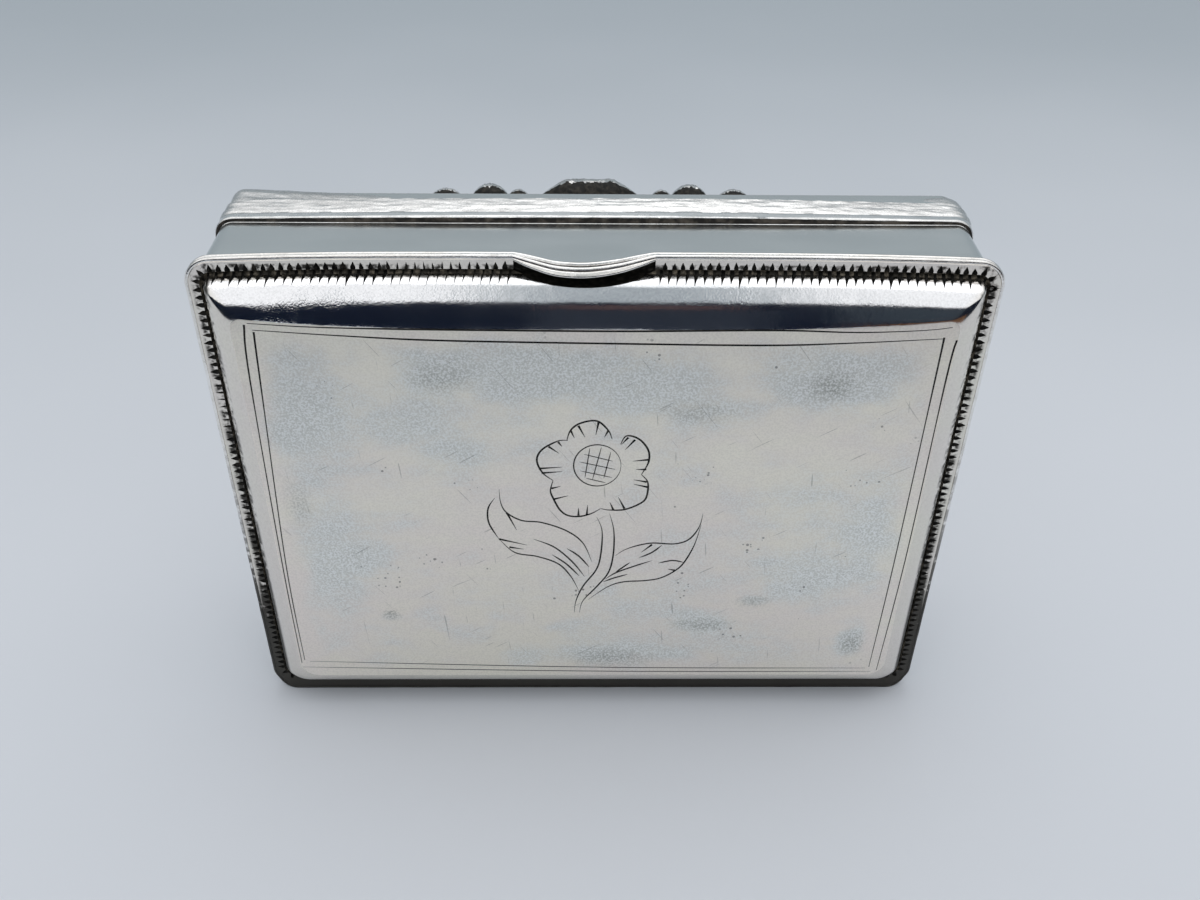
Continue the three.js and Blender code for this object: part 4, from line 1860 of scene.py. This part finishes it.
@dataclass
class ThumbLip:
    """Tongue that the lid's beaded edge runs along as it bends out, its underside coloured with dark oxide as
    painted shade.
    """

    lowest: float = -0.09
    bow: float = 0.57
    root: float = 0.62
    lap: float = 0.03
    under_lap: float = 0.1
    back: Bend = Bend(1.0, 0.6)
    bead: Bend = Bend(1.4, 0.65)
    front: Bend = Bend(2.2, 0.7)
    back_sharpness: float = 1.5
    front_sharpness: float = 1.05
    dish: float = 0.06
    thickness: float = 0.3
    roll: float = 0.07
    roll_shares: tuple[float, float] = (0.3, 0.7)
    shake: float = 0.03
    shake_wave: float = 0.6
    shake_phase: float = 3.0
    steps_across: int = 72
    steps_along: int = 6
    sharp: float = 50.0

    def bend(self, share: float, sharpness: float) -> float:
        """Gives the share of the full bend at a place from -1 to 1 across the lip."""
        side = 1 + self.lowest if share < self.lowest else 1 - self.lowest
        return max(1 - ((share - self.lowest) / side) ** 2, 0.0) ** sharpness

    def section(self, share: float) -> tuple[list[Vector], list[int]]:
        """Gives the lip's outline across one place.

        Args:
            share: Place from -1 to 1 across the lip.

        Returns:
            Points over the top from back to front and under it again, and the material after each point.
        """
        x = (OUTLINE.lip_left + OUTLINE.lip_right) / 2 + share * (OUTLINE.lip_right - OUTLINE.lip_left) / 2
        level = OUTLINE.height + self.bow
        level += self.shake * noise.noise(Vector((x * self.shake_wave, self.shake_phase, 0.0)))
        base = OUTLINE.height - self.root
        gentle, full = self.bend(share, self.back_sharpness), self.bend(share, self.front_sharpness)
        half_way = (gentle + full) / 2
        root = (LID_BACK + self.lap, base)
        path = [(root[0], base - self.thickness, 0), (*root, 0)]
        fall, depth = BEADS.arc(1)[-1]
        foot = (depth - self.back.forward * gentle, level - fall - self.back.drop * gentle)
        path.extend((*between(root, foot, step / self.steps_along), 0) for step in range(1, self.steps_along))
        for number, line, bent in ((1, self.back, gentle), (0, self.bead, half_way)):
            arc = [(depth - line.forward * bent, level - fall - line.drop * bent, 0)
                   for fall, depth in reversed(BEADS.arc(number))]
            arc[-1] = (*arc[-1][:2], 2)
            path.extend(arc)
        start = path[-1][:2]
        front = (BORDER_FACE - self.front.forward * full, level - BEADS.height - self.front.drop * full)
        for step in range(1, self.steps_along + 1):
            along = step / self.steps_along
            y, z = between(start, front, along)
            path.append((y, z - self.dish * full * math.sin(math.pi * along), 0))
        # The roll under the front edge and the underside take the dark cut oxide: painted shade under the lip
        for tint, rolled in enumerate(self.roll_shares):
            path.append((front[0] - self.roll, front[1] - self.thickness * rolled, tint))
        below = (front[0], front[1] - self.thickness)
        under = (LID_BACK - self.under_lap, base - self.thickness)
        path.extend((*between(below, under, step / self.steps_along), 1) for step in range(self.steps_along))
        return [Vector((x, y, z)) for y, z, _ in path], [tint for _, _, tint in path]

    def build(self) -> None:
        """Makes and dresses the lip."""
        shares = [2 * step / self.steps_across - 1 for step in range(self.steps_across + 1)]
        sections = [self.section(share) for share in shares]
        shape = loft([points for points, _ in sections])
        tints = sections[0][1]
        shape.tints = {face: tints[face % len(tints)] for face in range(len(tints) * self.steps_across)}
        materials = (EDGE_SILVER.material(), CUT_OXIDE_AND_SHADE.material(), RECESS_OXIDE_AND_SHADE.material())
        lip = shape.piece("thumb_lip_bent", materials, self.sharp)
        report(lip, Body.LID, ("thumb_lip",))


@dataclass
class WallBand:
    """Plain wall with softened mouth edges, notched for the hinge barrel."""

    outer_x: float = 0.95
    outer_z: float = 0.7
    inner: float = 1.6
    soft: float = 0.03
    soft_turn: float = 0.3
    shake: float = 0.02
    shake_wave: float = 0.12
    shake_phase: float = 4.0
    notch_radius: float = 1.05
    notch_gap: float = 0.15
    notch_sides: int = 40
    sharp: float = 50.0

    def build(self) -> None:
        """Makes, notches and dresses the wall."""
        near, far = WALL_LOW.y, WALL_HIGH.y
        soft, turned = self.soft, self.soft * self.soft_turn
        outside = ((soft, near), (turned, near + turned), (0.0, near + soft), (0.0, near + soft * 2),
                   (0.0, (near + far) / 2), (0.0, far))
        inside = ((0.0, far), (0.0, near + soft * 2), (0.0, near + soft), (-soft, near))
        profile = [RimPoint(self.outer_x + inset, self.outer_z + inset, depth) for inset, depth in outside]
        profile.extend(RimPoint(self.inner + inset, self.inner + inset, depth) for inset, depth in inside)
        rings = swept(profile)
        for ring in rings:
            for point in ring:
                place = Vector((point.x * self.shake_wave, point.y, self.shake_phase))
                point.z += self.shake * noise.noise(place)
        materials = (WALL_SILVER.material(), RECESS_OXIDE_AND_SHADE.material())
        wall = loft(rings, tube=True).piece("wall_smooth", materials, self.sharp)
        carve(wall, [self.notch()], self.sharp)
        report(wall, Body.BOX, ("wall_band",))

    def notch(self) -> Object:
        """Makes the cutter of the hinge's notch.

        Returns:
            The cutter.
        """
        low, _ = span("pin_head_left")
        _, high = span("pin_head_right")
        axis = ((low.y + high.y) / 2, (low.z + high.z) / 2)
        circle = circled(axis, self.notch_radius, self.notch_sides)
        rings = [[(x, y, z) for y, z in circle] for x in (low.x - self.notch_gap, high.x + self.notch_gap)]
        return loft(rings).piece("hinge_notch", ())


class Reed(NamedTuple):
    """One band of the moulding: its start and end behind the near edge, and its insets there."""

    near: float
    far: float
    foot: float
    crest: float


class MouldPoint(NamedTuple):
    """Point of the moulding's profile: its inset, depth and share of tooling, and the material after it."""

    inset: float
    depth: float
    tooling: float
    tint: int = 0


class ToolMark(NamedTuple):
    """One kind of mark that tools left: its waves along and across the moulding, slant, phase and weight."""

    along: float
    slant: float
    across: float
    phase: float
    weight: float


def clamped(share: float) -> float:
    """Keeps a share from 0 to 1."""
    return min(max(share, 0.0), 1.0)


@dataclass
class BaseMoulding:
    """Reeded moulding round the far end of the wall, tooled by hand, with a fillet of solder at the wall. Its
    near face over the wall is coloured with recess oxide as painted shade along the seam.

    Its top edge rises a little towards the middle in front and sinks there behind, as a handled edge does.
    """

    # The face after the second fillet point, the near face over the wall, takes the recess oxide: painted
    # shade along the seam under the moulding's edge
    fillet: tuple[MouldPoint, ...] = (
        MouldPoint(0.72, -0.07, 0.0), MouldPoint(0.66, 0.0, 0.0, 1), MouldPoint(0.33, 0.0, 0.9),
        MouldPoint(0.25, 0.08, 0.9),
    )
    strip: MouldPoint = MouldPoint(0.22, 0.16, 0.15, 2)
    strip_gap: float = 0.06
    strip_steps: int = 4
    reeds: tuple[Reed, ...] = (
        Reed(1.1, 2.25, 0.27, 0.0), Reed(2.4, 3.65, 0.25, 0.0), Reed(3.8, 6.0, 0.28, 0.02),
    )
    reed_fullness: float = 0.25
    reed_steps: int = 9
    groove: MouldPoint = MouldPoint(0.1, 0.12, 0.3, 1)
    end_inset: float = 1.3
    end_tooling: float = 0.8
    end_steps: int = 12
    inner: float = 1.8
    seat: float = 0.8
    narrow: float = 0.37
    lean: float = 0.9
    arch: float = 0.3
    arch_growth: float = 0.5
    arch_half: float = 38.0
    sag: float = 1.6
    sag_place: float = 4.0
    sag_half: float = 42.0
    sag_from: float = 4.0
    sag_ramp: float = 0.8
    spacing: float = 0.26
    tooling: float = 0.06
    tool_marks: tuple[ToolMark, ...] = (ToolMark(0.3, 0.6, 3.2, 1.5, 0.5), ToolMark(0.8, 0.0, 4.6, 7.5, 0.7))
    sway: float = 0.05
    sway_wave: float = 0.06
    sway_phase: float = 2.0
    sharp: float = 48.0

    def profile(self) -> list[MouldPoint]:
        """Gives the profile from the wall over the outer face to the seat of the base plate.

        Returns:
            Profile points, with depths behind the near edge.
        """
        far = MOULDING_HIGH.y - MOULDING_LOW.y
        points = list(self.fillet)
        length = self.reeds[0].near - self.strip_gap - self.strip.depth
        for step in range(self.strip_steps + 1):
            points.append(self.strip._replace(depth=self.strip.depth + length * step / self.strip_steps))
        points[-1] = points[-1]._replace(tint=0)
        for number, reed in enumerate(self.reeds):
            for step in range(self.reed_steps + 1):
                share = step / self.reed_steps
                rise = min(share * (1 + self.reed_fullness * (1 - share * share)), 1.0)
                inset = reed.foot + (reed.crest - reed.foot) * rise
                points.append(MouldPoint(inset, reed.near + (reed.far - reed.near) * share, 1.0))
            if number + 1 < len(self.reeds):
                points[-1] = points[-1]._replace(tint=1)
                inset = self.reeds[number + 1].foot + self.groove.inset
                points.append(self.groove._replace(inset=inset, depth=reed.far + self.groove.depth))
        last = self.reeds[-1]
        for step in range(1, self.end_steps + 1):
            angle = math.pi / 2 * step / self.end_steps
            inset = last.crest + (self.end_inset - last.crest) * (1 - math.cos(angle))
            points.append(MouldPoint(inset, last.far + (far - last.far) * math.sin(angle), self.end_tooling))
        seat = far - self.seat
        ends = ((self.inner, far), (self.inner, seat), (self.fillet[0].inset, seat))
        points.extend(MouldPoint(inset, depth, 0.0) for inset, depth in ends)
        return points

    def rise(self, x: float, depth: float) -> float:
        """Gives the rise of the top edge at a place along it and behind the near edge.

        Args:
            x: Place in X.
            depth: Depth behind the near edge.

        Returns:
            The rise.
        """
        growth = 1 + self.arch_growth * clamped(depth / self.reeds[0].far)
        arch = self.arch * growth * max(1 - (x / self.arch_half) ** 2, 0.0)
        share = clamped((depth - self.sag_from) / self.sag_ramp)
        return arch - self.sag * share * max(1 - ((x - self.sag_place) / self.sag_half) ** 2, 0.0)

    def build(self) -> None:
        """Makes and dresses the moulding."""
        near = MOULDING_LOW.y
        profile = self.profile()
        shape = Shape()
        places = OUTLINE.stations(self.spacing)
        travel = 0.0
        rows = []
        for number, (x, z, out_x, out_z) in enumerate(places):
            travel += math.dist((x, z), places[number - 1][:2]) if number else 0.0
            row = []
            for inset, depth, tooling, _ in profile:
                drawn = inset + self.mark(travel, depth, x, z) * tooling
                back = clamped(depth / self.reeds[-1].far)
                closer = (self.narrow * (1 - back) + self.lean * back * (out_x < 0)) * abs(out_x)
                lifted = self.rise(x, depth) * max(out_z, 0.0) if tooling else 0.0
                height = max(z - drawn * out_z + lifted, 0.0)
                row.append((x - (drawn + closer) * out_x, near + depth, height))
            rows.append(shape.row(row))
        rings = [list(ring) for ring in zip(*rows)]
        for point, first, second in zip(profile, rings, rings[1:] + rings[:1]):
            shape.bridge(first, second, point.tint)
        materials = (REED_SILVER.material(), RECESS_OXIDE_AND_SHADE.material(), STRIP_SILVER.material())
        moulding = shape.piece("reeded_moulding", materials, self.sharp)
        report(moulding, Body.BOX, ("base_moulding",))

    def mark(self, travel: float, depth: float, x: float, z: float) -> float:
        """Gives how far the tools and wear have moved the face at a place.

        Args:
            travel: Distance round the outline.
            depth: Depth of the place.
            x: Place in X.
            z: Place in Z.

        Returns:
            Inset to add.
        """
        moved = self.sway * noise.noise(Vector((x * self.sway_wave, z * self.sway_wave, self.sway_phase)))
        for kind in self.tool_marks:
            place = Vector((travel * kind.along + depth * kind.slant, depth * kind.across, kind.phase))
            moved += self.tooling * kind.weight * noise.noise(place)
        return moved


@dataclass
class BasePlate:
    """Low cushion that closes the far side, framed by an engraved double line."""

    foot: float = 1.9
    shoulder: float = 3.2
    steps: int = 18
    flat_strip: float = 0.5
    sheet: float = 0.7
    line_insets: tuple[float, float] = (5.9, 6.8)
    line_breadth: float = 0.19
    line_gap: float = 0.4
    line_middle: float = 30.0
    line_bows: tuple[float, float, float, float] = (0.15, 0.1, 0.1, 0.12)
    sharp: float = 32.0

    def build(self) -> None:
        """Makes, engraves and dresses the plate."""
        rim = MOULDING_HIGH.y
        crown = BASE_HIGH.y - rim
        face = []
        for step in range(self.steps + 1):
            angle = (1 - step / self.steps) * math.pi / 2
            face.append((self.foot + self.shoulder * (1 - math.cos(angle)), rim + crown * math.sin(angle)))
        hollow = self.foot + self.sheet
        profile = [(face[0][0] + self.flat_strip, BASE_HIGH.y), *face, (self.foot, BASE_LOW.y),
                   (hollow, BASE_LOW.y), (hollow, rim), (hollow + self.shoulder, BASE_HIGH.y - self.sheet)]
        rings = swept([RimPoint(inset, inset, depth) for inset, depth in profile])
        plate = loft(rings).piece("base_plate_worn", (BASE_SILVER.material(), CUT_OXIDE_AND_SHADE.material()))
        carve(plate, [self.lines()], self.sharp)
        report(plate, Body.BOX, ("base_plate",))

    def lines(self) -> Object:
        """Makes the cutter of the double line.

        Returns:
            The cutter.
        """
        upright = Matrix.Translation((0.0, BASE_HIGH.y * MM, 0.0)) @ Matrix.Rotation(-math.pi / 2, 4, "X")
        gap, middle = self.line_gap, self.line_middle
        top, bottom, left, right = self.line_bows
        strokes = []
        for inset in self.line_insets:
            across, low, high = OUTLINE.half_width - inset, inset, OUTLINE.height - inset
            sides = (((-across + gap, high), (0.0, high - top), (across - gap, high)),
                     ((-across + gap, low), (0.0, low + bottom), (across - gap, low)),
                     ((-across, low + gap), (-across + left, middle), (-across, high - gap)),
                     ((across, low + gap), (across - right, middle), (across, high - gap)))
            for side in sides:
                strokes.append(Stroke(tuple((x, -z) for x, z in side), Hand.EVEN, self.line_breadth))
        tree = Tree.grown(Tree.graver, Depth="Float")
        return ENGRAVING.cutter("base_lines", strokes, tree, upright, CUT_OXIDE_AND_SHADE.material())


class Swell(NamedTuple):
    """One rise of a cast boss, in shares of it: place, half length, height, flat and fullness."""

    place: float
    half: float
    tall: float
    flat: float
    fullness: float

    def height(self, share: float) -> float:
        """Gives the share of the boss's radius at a place from -1 to 1 along it."""
        slope = max(abs(share - self.place) / self.half - self.flat, 0.0) / (1 - self.flat)
        return self.tall * max(1 - slope ** (1 / self.fullness), 0.0) ** self.fullness


class Lump(NamedTuple):
    """One cast boss: its CAD node, its swells, and the side that they are counted from."""

    node: str
    swells: tuple[Swell, ...]
    side: int


@dataclass
class CastBosses:
    """Cast bosses along the thumb edge of the far side, swelling and granular, their lower faces coloured
    with dark oxide: painted shade, partly patina.
    """

    bar: tuple[Swell, ...] = (Swell(0.0, 1.0, 1.0, 0.45, 0.9),)
    scroll: tuple[Swell, ...] = (Swell(-0.62, 0.4, 0.66, 0.0, 0.6), Swell(0.34, 0.66, 1.0, 0.1, 0.62))
    bud: tuple[Swell, ...] = (Swell(0.0, 1.0, 1.0, 0.0, 0.6),)
    standoff: float = 2.2
    rows: int = 84
    turns: int = 64
    least: float = 0.004
    grain: float = 0.1
    grain_stretch: float = 1.3
    grain_waves: tuple[Place, ...] = ((2.3, 0.6), (5.1, 0.5))
    dark_from: float = 98.0
    dark_to: float = 235.0
    ragged: float = 9.0
    ragged_waves: Place = (0.45, 0.1)
    ragged_phase: float = 3.0
    sharp: float = 60.0

    def build(self) -> None:
        """Makes and dresses each boss."""
        materials = (REED_SILVER.material(), CUT_OXIDE_AND_SHADE.material())
        lumps = [Lump("centre_boss", self.bar, 1)]
        for name, side in (("left", -1), ("right", 1)):
            lumps.append(Lump(f"inner_boss_{name}", self.scroll, side))
            lumps.append(Lump(f"outer_boss_{name}", self.bud, side))
        for lump in lumps:
            boss = self.cast(lump, materials)
            report(boss, Body.BOX, (lump.node,))

    def cast(self, lump: Lump, materials: Sequence[Material]) -> Object:
        """Makes one boss where its CAD node is.

        Args:
            lump: The boss.
            materials: Bright silver and oxide.

        Returns:
            The boss.
        """
        low, high = span(lump.node)
        half = (high.x - low.x) / 2
        middle_x = (high.x + low.x) / 2
        middle_z = OUTLINE.height - self.standoff
        radius = high.z - middle_z
        middle_y = high.y - radius
        rings = []
        for step in range(self.rows + 1):
            share = -math.cos(math.pi * step / self.rows)
            height = max(swell.height(share * lump.side) for swell in lump.swells)
            least = max(radius * height, self.least)
            ring = []
            for y, z in circled((0.0, 0.0), 1.0, self.turns):
                place = Vector((half * share * self.grain_stretch, least * y, least * z))
                grain = sum(noise.noise(place * wave) * weight for wave, weight in self.grain_waves)
                reach = least * (1 + self.grain * grain * height)
                ring.append((middle_x + half * share, middle_y + reach * y, middle_z + reach * z))
            rings.append(ring)
        shape = loft(rings)
        for row in range(self.rows):
            for turn in range(self.turns):
                place = Vector((row * self.ragged_waves[0], turn * self.ragged_waves[1], self.ragged_phase))
                angle = 360.0 * (turn + 0.5) / self.turns + self.ragged * noise.noise(place)
                # Faces from dark_from to dark_to round each boss take the oxide: painted shade on the side
                # away from the light, partly patina
                if self.dark_from < angle < self.dark_to:
                    shape.tints[row * self.turns + turn] = 1
        return shape.piece(f"{lump.node}_cast", materials, self.sharp)


@dataclass
class Hinge:
    """Barrel of lid and body knuckles on one pin with domed heads."""

    bore: float = 0.46
    corner: float = 0.09
    sides: int = 32
    dome: tuple[Place, ...] = ((0.0, 0.9), (0.1, 1.0), (0.5, 1.0), (0.75, 0.9), (0.92, 0.65), (1.0, 0.25))
    sharp: float = 55.0
    head_sharp: float = 50.0

    def knuckles(self, stem: str, count: int, body: Body, tree: NodeTree,
                 material: Material) -> None:
        """Makes one body's knuckles.

        Args:
            stem: Start of their CAD nodes' names.
            count: How many there are.
            body: Body that they ride on.
            tree: The barrel's tree.
            material: Their finish.
        """
        nodes = [f"{stem}_{number}" for number in range(1, count + 1)]
        spans = [span(node) for node in nodes]
        low, high = spans[0]
        item = path_object(f"{stem}s", [(first + last) / 2 * MM for first, last in spans])
        Tree.run(item, tree, {
            "Radius": (high.z - low.z) / 2 * MM, "Bore": self.bore * MM, "Length": (high.x - low.x) * MM,
            "Round": self.corner * MM, "Sides": self.sides, "Material": material,
        })
        finish_edges(item.data, self.sharp)
        report(item, body, nodes)

    def build(self) -> None:
        """Makes and dresses the barrel and the pin's heads."""
        lengths = dict.fromkeys(("Radius", "Bore", "Length", "Round"), "Float")
        tree = Tree.grown(Tree.barrel, **lengths, Sides="Int")
        material = WALL_SILVER.material()
        self.knuckles("body_knuckle", 4, Body.BOX, tree, material)
        self.knuckles("lid_knuckle", 3, Body.LID, tree, material)
        for side, way in (("left", -1), ("right", 1)):
            self.head(f"pin_head_{side}", way, material)

    def head(self, node: str, way: int, material: Material) -> None:
        """Makes one domed pin head.

        Args:
            node: CAD node of the head.
            way: -1 for the left end and 1 for the right.
            material: Its finish.
        """
        low, high = span(node)
        radius = (high.z - low.z) / 2
        middle = (low + high) / 2
        inner, outer = (high.x, low.x) if way < 0 else (low.x, high.x)
        rings = []
        for share, size in self.dome:
            circle = circled((middle.y, middle.z), radius * size, self.sides)
            rings.append([(inner + (outer - inner) * share, y, z) for y, z in circle])
        item = loft(rings).piece(f"{node}_domed", (material,), self.head_sharp)
        report(item, Body.BOX, (node,))


@dataclass
class InnerParts:
    """CAD nodes that keep their shape and get a worn finish."""

    warm_nodes: tuple[str, ...] = ("lid_lining", "lid_bezel", "hinge_bearer")
    grey_nodes: tuple[str, ...] = ("hinge_pin",)

    def build(self) -> None:
        """Dresses the nodes."""
        for nodes, finish in ((self.warm_nodes, INNER_SILVER), (self.grey_nodes, WALL_SILVER)):
            material = finish.material()
            for name in nodes:
                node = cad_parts[name]
                node.data.materials.clear()
                node.data.materials.append(material)
                LOG.info("%s keeps its solid", name)


class Card(NamedTuple):
    """Upright card in front of the box: its name, edges, depth and tone."""

    name: str
    left: float
    right: float
    low: float
    high: float
    depth: float
    tone: Colour


@dataclass
class Studio:
    """Pale floor, soft light from above, cards in front and the camera, in metres and degrees."""

    floor_radius: float = 1.6
    floor_drop: float = 0.00002
    floor_sides: int = 64
    lens: float = 34.89
    sensor: float = 36.0
    clip_start: float = 0.005
    place: tuple[float, float, float] = (-0.0013, -0.1091, 0.1127)
    pitch: float = 36.98
    yaw: float = 1.04
    roll: float = -0.72
    sky_axis: tuple[float, float, float] = (0.0, -0.259, 0.966)
    sky_limits: Limits = (0.22, 0.58)
    sky_grey: Colour = (0.33, 0.37, 0.40)
    sky_white: Colour = (0.95, 0.96, 0.98)
    backdrop: Colour = (0.40, 0.45, 0.50)
    cards: tuple[Card, ...] = (
        Card("dark_card", -0.5, 0.5, 0.0, 0.115, -0.15, (0.004, 0.009, 0.024)),
        Card("slate_card", -0.011, 0.04, 0.0, 0.08, -0.149, (0.03, 0.037, 0.054)),
        Card("grey_card", 0.053, 0.088, 0.035, 0.1, -0.149, (0.05, 0.064, 0.08)),
        Card("rosy_card", -0.006, 0.03, 0.082, 0.1, -0.148, (0.11, 0.062, 0.062)),
        Card("amber_card", 0.062, 0.13, 0.0, 0.028, -0.147, (0.22, 0.105, 0.05)),
    )
    shade_place: float = 0.045
    shade_limits: Limits = (0.17, 0.08)
    ahead_limits: Limits = (0.3, -0.55)
    lamp_power: float = 0.5
    lamp_size: float = 0.5
    lamp_place: tuple[float, float, float] = (0.05, 0.05, 0.55)
    lamp_target: tuple[float, float, float] = (0.0, 0.0, 0.03)

    def sheet(self, name: str, points: Sequence[Sequence[float]], material: Material,
              seen: bool = True) -> None:
        """Makes one flat thing of the room.

        Args:
            name: Name of the object.
            points: Its corners in order.
            material: Its finish.
            seen: Whether more than the polished metal sees it.
        """
        mesh = bpy.data.meshes.new(name)
        mesh.from_pydata(list(points), [], [tuple(range(len(points)))])
        mesh.materials.append(material)
        item = placed(name, mesh)
        item.visible_camera = seen
        item.visible_diffuse = seen
        item.visible_shadow = seen

    def floor(self) -> None:
        """Makes the floor."""
        circle = circled((0.0, 0.0), self.floor_radius, self.floor_sides)
        self.sheet("floor", [(x, y, -self.floor_drop) for x, y in circle], FLOOR_PAPER.material())

    def screen(self, card: Card) -> None:
        """Makes one card that only the polished metal sees.

        Args:
            card: The card.
        """
        material, web, shader = shaded(card.name)
        web.fill(shader, {"Base Color": solid(card.tone), "Roughness": 0.9, "Specular IOR Level": 0.1})
        left, right, low, high, depth = card[1:6]
        corners = ((left, low), (right, low), (right, high), (left, high))
        self.sheet(card.name, [(x, depth, z) for x, z in corners], material, False)

    def sky(self) -> None:
        """Lights the room from above, apart from what someone who stands in front keeps off."""
        world = bpy.data.worlds.new("room")
        bpy.context.scene.world = world
        world.use_nodes = True
        web = Web(world.node_tree)
        vector = web.signal("ShaderNodeTexCoord", {}, "Generated")
        inputs = {0: vector, 1: self.sky_axis}
        towards = web.signal("ShaderNodeVectorMath", inputs, "Value", operation="DOT_PRODUCT")
        x, y, _ = web.split(vector)
        aside = web.math("ABSOLUTE", x - self.shade_place)
        covered = web.step(aside, *self.shade_limits) * web.step(y, *self.ahead_limits)
        share = web.step(towards, *self.sky_limits) * (1.0 - covered)
        light = web.blend(share, self.sky_grey, self.sky_white)
        seen = web.signal("ShaderNodeLightPath", {}, "Is Camera Ray")
        web.fill(world.node_tree.nodes["Background"], {"Color": web.blend(seen, light, self.backdrop)})

    def lamp(self) -> None:
        """Hangs one large soft lamp above and a little behind."""
        light = bpy.data.lights.new("soft_lamp", "AREA")
        light.shape = "SQUARE"
        light.size = self.lamp_size
        light.energy = self.lamp_power
        place = Vector(self.lamp_place)
        turn = (place - Vector(self.lamp_target)).to_track_quat("Z", "Y")
        placed("soft_lamp", light).matrix_world = Matrix.LocRotScale(place, turn, None)

    def camera(self) -> None:
        """Sets the camera where the photograph was taken from."""
        pitch, yaw, roll = (math.radians(angle) for angle in (self.pitch, self.yaw, self.roll))
        ahead = Vector((math.sin(yaw) * math.cos(pitch), math.cos(yaw) * math.cos(pitch), -math.sin(pitch)))
        right = Vector((math.cos(yaw), -math.sin(yaw), 0.0))
        down = ahead.cross(right)
        level = right * math.cos(roll) + down * math.sin(roll)
        upright = right * math.sin(roll) - down * math.cos(roll)
        turn = Matrix((level, upright, -ahead)).transposed().to_4x4()
        lens = bpy.data.cameras.new("photograph")
        lens.lens = self.lens
        lens.sensor_width = self.sensor
        lens.sensor_fit = "HORIZONTAL"
        lens.clip_start = self.clip_start
        item = placed("photograph", lens)
        item.matrix_world = Matrix.Translation(self.place) @ turn
        bpy.context.scene.camera = item

    def build(self) -> None:
        """Sets the whole room up."""
        self.floor()
        for card in self.cards:
            self.screen(card)
        self.sky()
        self.lamp()
        self.camera()
        bpy.context.scene.view_settings.view_transform = "Standard"


def main() -> None:
    """Builds the box and its room."""
    logging.basicConfig(level=logging.INFO, format="%(name)s: %(message)s")
    for part in (LidPlate(), EdgeWire(), ThumbLip(), WallBand(), BaseMoulding(), BasePlate(), CastBosses(),
                 Hinge(), InnerParts(), Studio()):
        part.build()


if __name__ == "__main__":
    main()
